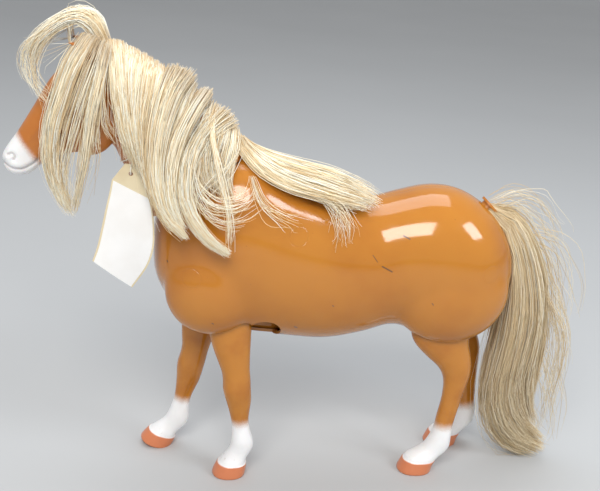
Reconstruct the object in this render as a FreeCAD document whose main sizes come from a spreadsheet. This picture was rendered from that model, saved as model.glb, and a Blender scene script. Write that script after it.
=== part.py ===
"""Fashion-doll-size toy horse: a two-half hard plastic body, four legs that swing on two steel
axles, a soft vinyl head and neck that turns on the body, rooted hair and a strung paper tag.

Millimetres. The horse faces -X, its left side is -Y, +Z is up and the ground is Z = 0.
"""
import FreeCAD
import Part
import math
import os
from FreeCAD import Placement, Rotation, Vector

doc = FreeCAD.newDocument("toy_horse")
sheet = doc.addObject("Spreadsheet::Sheet", "dim")
parts = []

# Driving sizes, one cell each: (alias, value).
SIZES = [
    ("axle_height", 148),
    ("front_axle_x", -58),
    ("rear_axle_x", 99),
    ("wall", 2.2),
    ("bulge_wall", 2.6),
    ("seam_gap", 0.04),
    # how far from the middle plane a boss blank or a cross hole is drawn, past any surface
    ("cross_reach", 60),
    # legs and the axles that carry them
    ("front_leg_y", 19),
    ("rear_leg_y", 17),
    ("front_hub_radius", 13),
    ("rear_hub_radius", 15),
    ("hub_width", 12),
    ("front_swing", 18),
    ("rear_swing", 12.5),
    ("axle_radius", 2),
    ("running_fit", 0.05),
    ("side_gap", 0.5),
    ("axle_seat", 3),
    ("boss_radius", 5),
    ("spacer_radius", 5),
    ("washer_radius", 8),
    ("washer_thickness", 0.6),
    ("face_gap", 0.1),
    ("opening_gap", 1.8),
    ("front_opening_fore", 11.5),
    ("front_opening_aft", 36),
    ("rear_opening_fore", 26.5),
    ("rear_opening_aft", 26),
    ("opening_inner_y", 6),
    ("slot_roof_gap", 15),
    ("notch_radius", 10),
    ("notch_dx", 39.5),
    ("notch_drop", 46.5),
    # shoulder and thigh bulges of the body halves
    ("shoulder_y", 20),
    ("shoulder_dx", 6),
    ("shoulder_drop", 20),
    ("shoulder_long", 30),
    ("shoulder_tall", 35),
    ("shoulder_thick", 17),
    ("thigh_y", 19),
    ("thigh_dx", -3),
    ("thigh_drop", 20),
    ("thigh_long", 38),
    ("thigh_tall", 36),
    ("thigh_thick", 18),
    # screws that hold the two halves together
    ("screw_radius", 1.3),
    ("screw_head_radius", 2.6),
    ("screw_head_height", 1.8),
    ("screw_seat_y", 11),
    ("screw_tip_y", 11),
    ("screw_fit", 0.05),
    ("screw_boss_radius", 3.8),
    ("recess_radius", 3),
    # neck joint
    ("neck_dx", -2.7),
    ("neck_up", 40.3),
    ("neck_tilt", 36.9),
    ("neck_gap", 0.4),
    ("neck_deck", 2.5),
    ("neck_pin_radius", 9),
    ("neck_plate", 3),
    ("neck_plate_clearance", 1.2),
    ("retainer_radius", 13),
    ("retainer_thickness", 2),
    ("vinyl_wall", 3),
    ("ear_length", 17),
    ("ear_radius", 5),
    ("ear_tip_radius", 1.2),
    ("ear_spread", 9.5),
    ("ear_root_dx", 3),
    ("ear_sink", 8),
    # tail joint
    ("tail_dx", 20),
    ("tail_up", 29.6),
    ("tail_lean", 45),
    ("tail_pin_radius", 5),
    ("tail_pin_depth", 9),
    ("tail_flange_radius", 7),
    ("tail_flange", 1.5),
    # hair
    ("mane_gap", 2),
    ("mane_thickness", 6),
    ("forelock_thickness", 5),
    ("throat_clear_x", -15.5),
    ("throat_clear_z", -16),
    ("throat_clear_lean", 26.6),
    ("ear_gap", 0.4),
    # paper tag and its string
    ("tag_width", 30),
    ("tag_length", 66),
    ("tag_thickness", 0.6),
    ("tag_corner", 9),
    ("tag_hole_radius", 1.6),
    ("tag_hole_inset", 3.4),
    ("tag_turn", 30),
    ("tag_y", -19),
    ("string_radius", 0.5),
    ("string_gap", 0.3),
    ("knot_radius", 1.5),
    ("knot_angle", 50),
    ("tag_loop_radius", 5),
]

# Body stations: distance along X from the nearer axle, lowest and highest point measured from the
# axle line, and half width.
FRONT_STATIONS = [
    (-28.3, -4, 8, 4),
    (-25.5, -19, 23, 14),
    (-18, -36, 38, 24),
    (-8, -46, 50, 32),
    (8, -55, 58, 36),
    (28, -53, 63, 38.5),
]
# Barrel stations: share of the axle spacing, then the same three sizes.
BARREL_STATIONS = [
    (0.325, -54.5, 46, 37.5),
    (0.497, -57.5, 36, 35),
    (0.65, -52, 33.5, 33),
]
REAR_STATIONS = [
    (-37, -46.5, 38, 34),
    (-19, -54.5, 42.5, 37),
    (-2, -59, 41, 38),
    (13, -57, 34, 35.5),
    (25, -47, 25.5, 28),
    (34, -32, 12, 17),
    (38.3, -14, -2, 5),
]

# Leg stations: height above the ground, place along X from the axle, half length and half width.
FRONT_LEG_LOW = [
    (0, 22, 10.5, 9.5),
    (8, 24.4, 9.2, 8.6),
    (12, 25.8, 7.4, 6.6),
    (18, 28.5, 7, 6.3),
    (25, 30.3, 7, 6.5),
    (36, 28.3, 5.7, 5.2),
    (43, 27.3, 5.9, 5.3),
    (52, 26.2, 7.7, 6.4),
    (62, 25.2, 8.8, 7.2),
    (70, 24.5, 8.5, 7),
    (80, 22, 9.6, 7.2),
    (92, 19.7, 11.9, 7),
]
REAR_LEG_LOW = [
    (0, -12.5, 11, 9.6),
    (7, -10.5, 10.5, 8.8),
    (11.5, -7, 9.8, 7.2),
    (16.5, -1, 8.6, 6.2),
    (23, 2.5, 7.2, 6.4),
    (32, 4.1, 5.8, 5.2),
    (43, 5.7, 6.6, 5.2),
    (55, 7.4, 6.6, 5.4),
    (67, 8, 8, 6),
    (76, 6.4, 10.6, 6.6),
    (84, 1.5, 14.2, 7.5),
    (92, -3.7, 17.3, 8.5),
]
# The same above the skirt of the body, but with the height measured down from the axle.
FRONT_LEG_HIGH = [
    (44, 18.4, 13.9, 6.8),
    (30, 13.5, 14.5, 6.2),
    (14, 5, 13.5, 5.1),
    (0, 0, 12.4, 4.8),
]
REAR_LEG_HIGH = [
    (49, -6.1, 18.9, 8.8),
    (36, -5, 18, 8),
    (18, -2, 16, 5.8),
    (0, 0, 14, 5.2),
]

# Head and neck stations from the centre of the neck joint: lower end (x, z), upper end (x, z) and
# half width.
HEAD_STATIONS = [
    (-27.8, -20.8, 27.7, 20.7, 22),
    (-35.9, -5.3, 14.7, 33.7, 19.5),
    (-44.7, 12.7, 0.7, 50.2, 16.5),
    (-51, 23.2, -22.3, 66.2, 14.5),
    (-59.3, 18.7, -45.3, 78.7, 15),
    (-69, 16.1, -65.3, 76.2, 15),
    (-79.9, 13.7, -82.3, 61.7, 12.5),
    (-90.2, 8.2, -94.3, 41.2, 9.5),
    (-95.3, 2.2, -103.3, 27.2, 8.8),
    (-102.8, 1.3, -109.3, 20.7, 8.2),
]
NOSE_TIP = (-112.3, 12.2)
# The neck is hollow through this many of its stations.
HOLLOW_STATIONS = 4

# Tail stations: place from the rear axle (dx, up), lean of the section in degrees from upright,
# half depth along X and half width along Y.
TAIL_STATIONS = [
    (22.3, 32.9, 55, 5, 5),
    (31, 28.5, 95, 6, 6),
    (42.5, 14.5, 135, 7.5, 9),
    (50.5, -8, 165, 10.5, 11),
    (54.5, -40, 180, 15.5, 12),
    (56, -62, 180, 17, 12),
    (54, -90, 180, 15.5, 11),
    (56, -116, 180, 14, 9),
    (63, -135, 180, 12, 8),
    (70, -144.5, 180, 7, 5),
]
# Loose tuft standing over the forehead, measured from the centre of the neck joint.
TUFT_STATIONS = [
    (-54, 83, 10, 7, 9),
    (-58, 95, -40, 6, 9),
    (-74, 97, -85, 5, 8),
    (-90, 87, -125, 4, 6),
    (-96, 77, -150, 2, 3),
]
# Locks that hang beside the face and beside the shoulder: place along X and height from the neck
# joint, distance out from the middle, half length along X and half thickness.
FACE_LOCK = [
    (-70, 44, 19, 14, 3),
    (-73, 24, 19, 12, 2.6),
    (-76, 6, 18, 9, 2.2),
    (-74, -8, 17, 5, 1.8),
    (-72, -14, 17, 2.5, 1.2),
]
SHOULDER_LOCK = [
    (-8, 26, 25, 13, 3),
    (-4, 6, 31, 14, 3),
    (0, -14, 42, 15, 3),
    (7, -32, 44.5, 12, 3),
    (14, -45, 45.5, 6, 2.5),
    (17, -49, 45.5, 3, 2),
]
# Lock that lies along the back: place along X from the neck joint, height above it, distance out,
# half height and half width.
BACK_LOCK = [
    (10, 34, 6, 6, 8),
    (30, 29.5, 10, 5, 9),
    (46, 16.5, 12, 4, 10),
    (58, 6, 12, 3.5, 10),
    (76, 0, 12, 3, 9),
    (92, -3.5, 12, 2.5, 6),
    (100, -4.5, 12, 1.5, 3),
]

# Where a layer of hair is kept, from the neck joint's centre: corner (x, y, z), then size (x, y, z).
MANE_REGION = ("-75", "-60", "-40", "150", "62", "160")
THROAT_REGION = ("-80", "-60", "-40", "80", "120", "160")
FORELOCK_REGION = ("-84", "-60", "30", "34", "66", "90")

# Shell screws, from the front axle: (x, z).
SCREWS = [(55, 20), (80, -38), (112, 12)]


def fill_sheet():
    """One row per size: its alias beside its value."""
    rows = list(SIZES)
    tables = [
        ("front", FRONT_STATIONS, ("dx", "low", "high", "wide")),
        ("barrel", BARREL_STATIONS, ("share", "low", "high", "wide")),
        ("rear", REAR_STATIONS, ("dx", "low", "high", "wide")),
        ("front_leg", FRONT_LEG_LOW, ("up", "dx", "long", "wide")),
        ("rear_leg", REAR_LEG_LOW, ("up", "dx", "long", "wide")),
        ("front_thigh", FRONT_LEG_HIGH, ("drop", "dx", "long", "wide")),
        ("rear_thigh", REAR_LEG_HIGH, ("drop", "dx", "long", "wide")),
        ("head", HEAD_STATIONS, ("low_x", "low_z", "high_x", "high_z", "wide")),
        ("screw", SCREWS, ("dx", "up")),
        ("nose_tip", [NOSE_TIP], ("dx", "up")),
        ("tail", TAIL_STATIONS, ("dx", "up", "lean", "deep", "wide")),
        ("tuft", TUFT_STATIONS, ("dx", "up", "lean", "deep", "wide")),
        ("face", FACE_LOCK, ("dx", "up", "out", "long", "thick")),
        ("shoulder_lock", SHOULDER_LOCK, ("dx", "up", "out", "long", "thick")),
        ("back_lock", BACK_LOCK, ("dx", "up", "out", "tall", "wide")),
    ]
    for prefix, stations, fields in tables:
        for number, station in enumerate(stations, 1):
            for field, size in zip(fields, station):
                rows.append((f"{prefix}_{number}_{field}", size))
    for row, (alias, size) in enumerate(rows, 1):
        sheet.set(f"A{row}", alias)
        sheet.set(f"B{row}", str(size))
        sheet.setAlias(f"B{row}", alias)
    doc.recompute()


def size(alias):
    return float(sheet.get(alias))


def bind(item, **formulas):
    """Bind properties to formulas; a name such as place_x stands for Placement.Base.x."""
    short = {"place_x": ".Placement.Base.x", "place_y": ".Placement.Base.y",
             "place_z": ".Placement.Base.z", "turn": ".Placement.Rotation.Angle"}
    for prop, formula in formulas.items():
        item.setExpression(short.get(prop, prop), formula)
    return item


def turned(item, axis, degrees=0.0):
    """Give an object its axis of turning; a formula can then set the angle."""
    item.Placement = Placement(Vector(), Rotation(axis, degrees))
    return item


def lying(first, second):
    """Placement whose own X and Y run along two directions."""
    return Placement(Vector(), Rotation(first, second, first.cross(second), "XYZ"))


def combine(kind, name, pieces):
    """Part::MultiFuse or Part::MultiCommon of several pieces."""
    item = doc.addObject(kind, name)
    item.Shapes = pieces
    return item


def cut(name, base, tools):
    tool = tools[0]
    if len(tools) > 1:
        tool = combine("Part::MultiFuse", name + "_tools", tools)
    item = doc.addObject("Part::Cut", name)
    item.Base = base
    item.Tool = tool
    return item


def loft(name, sections, ruled=False):
    item = doc.addObject("Part::Loft", name)
    item.Sections = sections
    item.Solid = True
    item.Ruled = ruled
    return item


def flat_ellipse(name, x, z, long, wide):
    """Ellipse across a leg, lying in a plane of constant Z."""
    item = doc.addObject("Part::Ellipse", name)
    bind(item, MajorRadius=long, MinorRadius=wide, place_x=x, place_z=z)
    return item


def tip(name, x, z):
    item = doc.addObject("Part::Vertex", name)
    bind(item, X=x, Z=z)
    return item


def cylinder_along_y(name, x, z, radius, near, far):
    """Cylinder between two values of Y."""
    item = turned(doc.addObject("Part::Cylinder", name), Vector(1, 0, 0), -90)
    return bind(item, Radius=radius, Height=f"{far} - ({near})", place_x=x, place_y=near, place_z=z)


def box(name, x, y, z, long, wide, tall):
    item = doc.addObject("Part::Box", name)
    return bind(item, Length=long, Width=wide, Height=tall, place_x=x, place_y=y, place_z=z)


def finish(item, label):
    """Name a finished part and list it for writing."""
    item.Label = label
    parts.append(item)
    return item


# ---------------------------------------------------------------- body halves

def half_barrel(name, side, inset, seam_shift):
    """Half of the barrel from chest to rump, lofted through upright half ellipses.

    With an inset it is the hollow inside: the stations near its two ends also move inwards.
    """
    end_shift = {("front", 1): 1, ("front", 2): 1, ("front", 3): 0.9, ("front", 4): 0.5,
                 ("rear", 4): -0.5, ("rear", 5): -0.9, ("rear", 6): -1, ("rear", 7): -1}
    wires = []
    groups = (("front", FRONT_STATIONS), ("barrel", BARREL_STATIONS), ("rear", REAR_STATIONS))
    for group, stations in groups:
        for number in range(1, len(stations) + 1):
            cell = f"{group}_{number}_"
            if group == "barrel":
                span = size("rear_axle_x") - size("front_axle_x")
                x = size("front_axle_x") + span * size(cell + "share")
            else:
                x = size(group + "_axle_x") + size(cell + "dx") + inset * end_shift.get((group, number), 0)
            at_end = (group, number) in (("front", 1), ("rear", len(REAR_STATIONS)))
            trim = 0 if at_end else inset
            top = size("axle_height") + size(cell + "high") - trim
            bottom = size("axle_height") + size(cell + "low") + trim
            middle = Vector(x, seam_shift, (top + bottom) / 2)
            crown = Vector(x, seam_shift, top)
            flank = middle + Vector(0, side * (size(cell + "wide") - trim), 0)
            outline = Part.Ellipse(crown, flank, middle).toShape(0, math.pi)
            chord = Part.LineSegment(Vector(x, seam_shift, bottom), crown).toShape()
            wires.append(Part.Wire([outline, chord]))
    item = doc.addObject("Part::Feature", name)
    item.Shape = Part.makeLoft(wires, True, False)
    return item


def bulge(name, pair, muscle, side, inset):
    """Ellipsoid over the top of one leg."""
    item = doc.addObject("Part::Ellipsoid", name)
    item.Angle1 = -90
    item.Angle2 = 90
    item.Angle3 = 360
    return bind(item, Radius1=f"dim.{muscle}_tall - {inset}", Radius2=f"dim.{muscle}_long - {inset}",
                Radius3=f"dim.{muscle}_thick - {inset}",
                place_x=f"dim.{pair}_axle_x + dim.{muscle}_dx", place_y=f"{side} * dim.{muscle}_y",
                place_z=f"dim.axle_height - dim.{muscle}_drop")


def above_neck_seat(name, drop):
    """Everything above the slanted neck seat, or above a plane lower by drop."""
    slab = doc.addObject("Part::Box", name + "_slab")
    slab.Length = 200
    slab.Width = 200
    slab.Height = 120
    slab.Placement.Base = Vector(-100, -100, 0)
    bind(slab, place_z=f"-({drop})")
    item = doc.addObject("Part::Compound", name)
    item.Links = [slab]
    return in_neck_frame(item)


def in_neck_frame(item):
    """Place an object that was built with the neck axis as its Z."""
    turned(item, Vector(0, -1, 0))
    return bind(item, turn="dim.neck_tilt", place_x="dim.front_axle_x + dim.neck_dx",
                place_z="dim.axle_height + dim.neck_up")


def in_tail_frame(item):
    """Place an object that was built with the tail socket's axis as its Z."""
    turned(item, Vector(0, 1, 0))
    return bind(item, turn="dim.tail_lean", place_x="dim.rear_axle_x + dim.tail_dx",
                place_z="dim.axle_height + dim.tail_up")


def half_solid(name, side, inset, bulge_inset, seat_drop, seam_shift):
    """Half barrel with its shoulder and thigh, cut off at the neck seat."""
    pieces = [half_barrel(name + "_barrel", side, inset, seam_shift)]
    for pair, muscle in (("front", "shoulder"), ("rear", "thigh")):
        pieces.append(bulge(f"{name}_{muscle}", pair, muscle, side, bulge_inset))
    whole = combine("Part::MultiFuse", name + "_whole", pieces)
    return cut(name, whole, [above_neck_seat(name + "_neck_cut", seat_drop)])


def leg_openings(side, side_name):
    """Slots under one body half that its two legs swing in, with the arched notch behind the front one."""
    tools = []
    for pair in ("front", "rear"):
        outer = f"dim.{pair}_leg_y + dim.{pair}_thigh_1_wide + dim.opening_gap"
        near = "dim.opening_inner_y" if side > 0 else f"-({outer})"
        tools.append(box(f"{side_name}_{pair}_slot", f"dim.{pair}_axle_x - dim.{pair}_opening_fore", near,
                         "dim.axle_height / 3",
                         f"dim.{pair}_opening_fore + dim.{pair}_opening_aft",
                         f"{outer} - dim.opening_inner_y",
                         "dim.axle_height * 2 / 3 - dim.front_hub_radius - dim.slot_roof_gap"))
    near = "dim.opening_inner_y" if side > 0 else "-dim.cross_reach"
    far = "dim.cross_reach" if side > 0 else "-dim.opening_inner_y"
    tools.append(cylinder_along_y(f"{side_name}_notch", "dim.front_axle_x + dim.notch_dx",
                                  "dim.axle_height - dim.notch_drop", "dim.notch_radius", near, far))
    return tools


def body_half(side, label):
    """One moulded half: wall, blind axle bosses and screw bosses, up to the seam at Y = 0."""
    seam = side * size("seam_gap") / 2
    outer = half_solid(f"{label}_outer", side, 0, "0", "0", seam)
    inner = half_solid(f"{label}_inner", side, size("wall"), "dim.bulge_wall", "dim.neck_deck", 0)
    shell = cut(f"{label}_shell", outer, [inner])
    bosses = []
    holes = []
    for pair in ("front", "rear"):
        x = f"dim.{pair}_axle_x"
        face = f"dim.{pair}_leg_y + dim.hub_width / 2 + dim.side_gap"
        bottom = f"{face} + dim.axle_seat"
        span = (face, "dim.cross_reach") if side > 0 else ("-dim.cross_reach", f"-({face})")
        bosses.append(cylinder_along_y(f"{label}_{pair}_boss", x, "dim.axle_height", "dim.boss_radius",
                                       *span))
        span = ("0", bottom) if side > 0 else (f"-({bottom})", "0")
        holes.append(cylinder_along_y(f"{label}_{pair}_axle_hole", x, "dim.axle_height",
                                      "dim.axle_radius + dim.face_gap / 4", *span))
    for number in range(1, len(SCREWS) + 1):
        x = f"dim.front_axle_x + dim.screw_{number}_dx"
        z = f"dim.axle_height + dim.screw_{number}_up"
        span = ("0", "dim.cross_reach") if side > 0 else ("-dim.cross_reach", "0")
        bosses.append(cylinder_along_y(f"{label}_screw_boss_{number}", x, z, "dim.screw_boss_radius",
                                       *span))
        span = ("-1", "dim.screw_seat_y + 1") if side > 0 else ("-dim.screw_tip_y - 1", "1")
        holes.append(cylinder_along_y(f"{label}_screw_hole_{number}", x, z,
                                      "dim.screw_radius + dim.screw_fit", *span))
        if side > 0:
            holes.append(cylinder_along_y(f"{label}_recess_{number}", x, z, "dim.recess_radius",
                                          "dim.screw_seat_y", "dim.cross_reach"))
    outer_copy = half_solid(f"{label}_trim", side, size("wall") / 2, "dim.wall / 2", "dim.neck_deck / 2",
                            seam)
    all_bosses = combine("Part::MultiFuse", f"{label}_all_bosses", bosses)
    trimmed = combine("Part::MultiCommon", f"{label}_bosses", [all_bosses, outer_copy])
    moulded = combine("Part::MultiFuse", f"{label}_moulded", [shell, trimmed])
    neck_hole = doc.addObject("Part::Cylinder", f"{label}_neck_hole_round")
    bind(neck_hole, Radius="dim.neck_pin_radius + dim.running_fit", Height="dim.neck_deck * 4",
         place_z="-dim.neck_deck * 2")
    neck_tool = doc.addObject("Part::Compound", f"{label}_neck_hole")
    neck_tool.Links = [neck_hole]
    in_neck_frame(neck_tool)
    tail_hole = doc.addObject("Part::Cylinder", f"{label}_tail_hole_round")
    bind(tail_hole, Radius="dim.tail_pin_radius + dim.running_fit", Height="dim.tail_pin_depth * 3",
         place_z="-dim.tail_pin_depth * 1.5")
    tail_tool = doc.addObject("Part::Compound", f"{label}_tail_hole")
    tail_tool.Links = [tail_hole]
    in_tail_frame(tail_tool)
    side_name = "right" if side > 0 else "left"
    drilled = cut(f"{label}_drilled", moulded,
                  holes + leg_openings(side, side_name) + [neck_tool, tail_tool])
    return finish(drilled, label)


# ---------------------------------------------------------------- legs and axles

def leg(label, pair, side, rest_formula):
    """One leg in its own frame: the axle is the origin and the flat of the hoof is level."""
    lows = FRONT_LEG_LOW if pair == "front" else REAR_LEG_LOW
    highs = FRONT_LEG_HIGH if pair == "front" else REAR_LEG_HIGH
    sections = []
    for number in range(1, len(lows) + 1):
        cell = f"dim.{pair}_leg_{number}"
        sections.append(flat_ellipse(f"{label}_low_{number}", f"{cell}_dx", f"{cell}_up - dim.axle_height",
                                     f"{cell}_long", f"{cell}_wide"))
    for number in range(1, len(highs) + 1):
        cell = f"dim.{pair}_thigh_{number}"
        sections.append(flat_ellipse(f"{label}_high_{number}", f"{cell}_dx", f"-{cell}_drop",
                                     f"{cell}_long", f"{cell}_wide"))
    hub = cylinder_along_y(f"{label}_hub", "0", "0", f"dim.{pair}_hub_radius",
                           "-dim.hub_width / 2", "dim.hub_width / 2")
    blank = combine("Part::MultiFuse", f"{label}_blank", [loft(f"{label}_limb", sections), hub])
    bore = cylinder_along_y(f"{label}_bore", "0", "0", "dim.axle_radius + dim.running_fit",
                            "-dim.hub_width", "dim.hub_width")
    # The sole is bevelled so that the hoof also stands flat when the leg is swung.
    ground = box(f"{label}_ground_box", "-80", "-40", "-dim.axle_height - 40", "160", "80", "40")
    swung_ground = doc.addObject("Part::Compound", f"{label}_swung_ground")
    swung_ground.Links = [ground]
    swing_axis = Vector(0, -1, 0) if pair == "front" else Vector(0, 1, 0)
    turned(swung_ground, swing_axis)
    bind(swung_ground, turn=f"dim.{pair}_swing")
    item = cut(label + "_cut", blank, [bore, swung_ground])
    turned(item, Vector(0, 1, 0) if pair == "front" else Vector(0, -1, 0))
    bind(item, turn=rest_formula, place_x=f"dim.{pair}_axle_x", place_y=f"{side} * dim.{pair}_leg_y",
         place_z="dim.axle_height")
    return finish(item, label)


def axle_set(pair):
    """Steel pin across the body, with the sleeve and the two friction washers between its legs."""
    x = f"dim.{pair}_axle_x"
    hub_inner = f"(dim.{pair}_leg_y - dim.hub_width / 2)"
    reach = f"(dim.{pair}_leg_y + dim.hub_width / 2 + dim.side_gap + dim.axle_seat - dim.face_gap)"
    finish(cylinder_along_y(f"{pair}_pin", x, "dim.axle_height", "dim.axle_radius", f"-{reach}", reach),
           f"{pair}_axle")
    washer_outer = f"({hub_inner} - dim.face_gap)"
    washer_inner = f"({washer_outer} - dim.washer_thickness)"
    bore = cylinder_along_y(f"{pair}_sleeve_bore", x, "dim.axle_height",
                            "dim.axle_radius + dim.running_fit", "-dim.cross_reach", "dim.cross_reach")
    sleeve = cylinder_along_y(f"{pair}_sleeve_tube", x, "dim.axle_height", "dim.spacer_radius",
                              f"-{washer_inner} + dim.face_gap", f"{washer_inner} - dim.face_gap")
    finish(cut(f"{pair}_sleeve_cut", sleeve, [bore]), f"{pair}_axle_sleeve")
    discs = []
    for side_name, near, far in (("left", f"-{washer_outer}", f"-{washer_inner}"),
                                 ("right", washer_inner, washer_outer)):
        disc = cylinder_along_y(f"{pair}_{side_name}_disc", x, "dim.axle_height", "dim.washer_radius", near,
                                far)
        hole = cylinder_along_y(f"{pair}_{side_name}_disc_hole", x, "dim.axle_height",
                                "dim.axle_radius + dim.running_fit", "-dim.cross_reach", "dim.cross_reach")
        discs.append(cut(f"{pair}_{side_name}_washer", disc, [hole]))
    group = doc.addObject("Part::Compound", f"{pair}_washer_pair")
    group.Links = discs
    finish(group, f"{pair}_friction_washers")


def shell_screws():
    """Screws from the right half into the posts of the left half, with their heads in recesses."""
    screws = []
    for number in range(1, len(SCREWS) + 1):
        x = f"dim.front_axle_x + dim.screw_{number}_dx"
        z = f"dim.axle_height + dim.screw_{number}_up"
        shank = cylinder_along_y(f"screw_{number}_shank", x, z, "dim.screw_radius",
                                 "-dim.screw_tip_y", "dim.screw_seat_y + 0.5")
        head = cylinder_along_y(f"screw_{number}_head", x, z, "dim.screw_head_radius",
                                "dim.screw_seat_y + dim.face_gap / 5",
                                "dim.screw_seat_y + dim.screw_head_height")
        screws.append(combine("Part::MultiFuse", f"screw_{number}", [shank, head]))
    group = doc.addObject("Part::Compound", "screw_group")
    group.Links = screws
    finish(group, "shell_screws")


# ---------------------------------------------------------------- head and neck

def head_section(name, number, inset):
    """Ellipse between the lower and upper ends of one head station."""
    cell = f"dim.head_{number}"
    item = doc.addObject("Part::Ellipse", name)
    low = Vector(size(f"head_{number}_low_x"), 0, size(f"head_{number}_low_z"))
    high = Vector(size(f"head_{number}_high_x"), 0, size(f"head_{number}_high_z"))
    upward = (high - low).normalize()
    item.Placement = lying(upward, Vector(0, 1, 0))
    span = f"sqrt(({cell}_high_x - {cell}_low_x)^2 + ({cell}_high_z - {cell}_low_z)^2)"
    return bind(item, MajorRadius=f"{span} / 2 - {inset}", MinorRadius=f"{cell}_wide - {inset}",
                place_x=f"({cell}_high_x + {cell}_low_x) / 2",
                place_z=f"({cell}_high_z + {cell}_low_z) / 2")


def neck_place(item):
    """Move a piece made about the neck joint's centre up to the body, clear of the seat by the gap."""
    return bind(item, place_x="dim.front_axle_x + dim.neck_dx - dim.neck_gap * sin(dim.neck_tilt * 1deg)",
                place_z="dim.axle_height + dim.neck_up + dim.neck_gap * cos(dim.neck_tilt * 1deg)")


def ear(name, side, grow):
    """Cone that leans forward from the side of the poll; grow makes the hole it passes through."""
    item = doc.addObject("Part::Cone", name)
    item.Placement = Placement(Vector(), Rotation(Vector(0, 0, 1), Vector(-0.75, side * 0.12, 0.6)))
    return bind(item, Radius1=f"dim.ear_radius + {grow}", Radius2=f"dim.ear_tip_radius + {grow}",
                Height=f"dim.ear_length + {grow}", place_x="dim.head_6_high_x + dim.ear_root_dx",
                place_y=f"{side} * dim.ear_spread", place_z="dim.head_6_high_z - dim.ear_sink")


def head_and_neck():
    """Soft vinyl skin, hollow up to the throat, with two ears."""
    outer = [head_section(f"head_outer_{n}", n, "0") for n in range(1, len(HEAD_STATIONS) + 1)]
    outer.append(tip("head_nose", "dim.nose_tip_1_dx", "dim.nose_tip_1_up"))
    pieces = [loft("head_skin", outer, ruled=True)]
    for side, side_name in ((-1, "left"), (1, "right")):
        pieces.append(ear(f"{side_name}_ear", side, "0"))
    solid = combine("Part::MultiFuse", "head_solid", pieces)
    hollow = loft("neck_hollow", [head_section(f"neck_inner_{n}", n, "dim.vinyl_wall")
                                  for n in range(1, HOLLOW_STATIONS + 1)], ruled=True)
    item = cut("head_cut", solid, [hollow])
    neck_place(item)
    finish(item, "head_and_neck")


def neck_plug():
    """Oval plate in the open end of the vinyl neck, with the round pin that turns in the body."""
    outline = doc.addObject("Part::Ellipse", "neck_plate_outline")
    span = "sqrt((dim.head_1_high_x - dim.head_1_low_x)^2 + (dim.head_1_high_z - dim.head_1_low_z)^2)"
    inset = "dim.vinyl_wall - dim.neck_plate_clearance"
    bind(outline, MajorRadius=f"{span} / 2 - {inset}", MinorRadius=f"dim.head_1_wide - {inset}",
         place_z="dim.neck_gap")
    plate = doc.addObject("Part::Extrusion", "neck_plate_oval")
    plate.Base = outline
    plate.DirMode = "Custom"
    plate.Dir = Vector(0, 0, 1)
    plate.Solid = True
    bind(plate, LengthFwd="dim.neck_plate")
    pin = doc.addObject("Part::Cylinder", "neck_pin")
    bind(pin, Radius="dim.neck_pin_radius",
         Height="dim.neck_plate + dim.neck_gap + dim.neck_deck + dim.neck_gap",
         place_z="-dim.neck_deck - dim.neck_gap")
    pilot = doc.addObject("Part::Cylinder", "neck_pilot_hole")
    bind(pilot, Radius="dim.screw_radius + dim.screw_fit", Height="20", place_z="-20 + dim.neck_gap")
    whole = combine("Part::MultiFuse", "neck_plug_blank", [plate, pin])
    finish(in_neck_frame(cut("neck_plug_cut", whole, [pilot])), "neck_plug")


def neck_retainer():
    """Disc and screw under the neck seat; they keep the neck from pulling off."""
    disc = doc.addObject("Part::Cylinder", "retainer_disc")
    bind(disc, Radius="dim.retainer_radius", Height="dim.retainer_thickness",
         place_z="-dim.neck_deck - dim.neck_gap - dim.retainer_thickness")
    hole = doc.addObject("Part::Cylinder", "retainer_hole")
    bind(hole, Radius="dim.screw_radius + dim.screw_fit", Height="100", place_z="-50")
    finish(in_neck_frame(cut("retainer_cut", disc, [hole])), "neck_retainer")
    under = "-dim.neck_deck - dim.neck_gap - dim.retainer_thickness - dim.screw_head_height"
    head = doc.addObject("Part::Cylinder", "neck_screw_head")
    bind(head, Radius="dim.screw_head_radius", Height="dim.screw_head_height", place_z=under)
    shank = doc.addObject("Part::Cylinder", "neck_screw_shank")
    bind(shank, Radius="dim.screw_radius",
         Height="dim.screw_head_height + dim.retainer_thickness + dim.neck_deck + dim.neck_gap * 1.5",
         place_z=under)
    finish(in_neck_frame(combine("Part::MultiFuse", "neck_screw_whole", [head, shank])), "neck_screw")


# ---------------------------------------------------------------- tail and hair

def tail_plug():
    """Flanged plug that the tail hair is bound into, pushed in between the two body halves."""
    pin = doc.addObject("Part::Cylinder", "tail_pin")
    bind(pin, Radius="dim.tail_pin_radius", Height="dim.tail_pin_depth + 1", place_z="-dim.tail_pin_depth")
    flange = doc.addObject("Part::Cylinder", "tail_flange")
    bind(flange, Radius="dim.tail_flange_radius", Height="dim.tail_flange", place_z="1")
    finish(in_tail_frame(combine("Part::MultiFuse", "tail_plug_whole", [pin, flange])), "tail_plug")


def leaning_ellipse(name, cell, x, z):
    """Section of a lock in the middle plane; its lean is the direction that the lock runs in."""
    item = doc.addObject("Part::Ellipse", name)
    lean = math.radians(size(cell + "_lean"))
    run = Vector(math.sin(lean), 0, math.cos(lean))
    across = Vector(run.z, 0, -run.x)
    deep, wide = size(cell + "_deep"), size(cell + "_wide")
    if deep >= wide:
        item.Placement = lying(across, Vector(0, 1, 0))
        bind(item, MajorRadius=f"dim.{cell}_deep", MinorRadius=f"dim.{cell}_wide")
    else:
        item.Placement = lying(Vector(0, 1, 0), across)
        bind(item, MajorRadius=f"dim.{cell}_wide", MinorRadius=f"dim.{cell}_deep")
    return bind(item, place_x=x, place_z=z)


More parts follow.
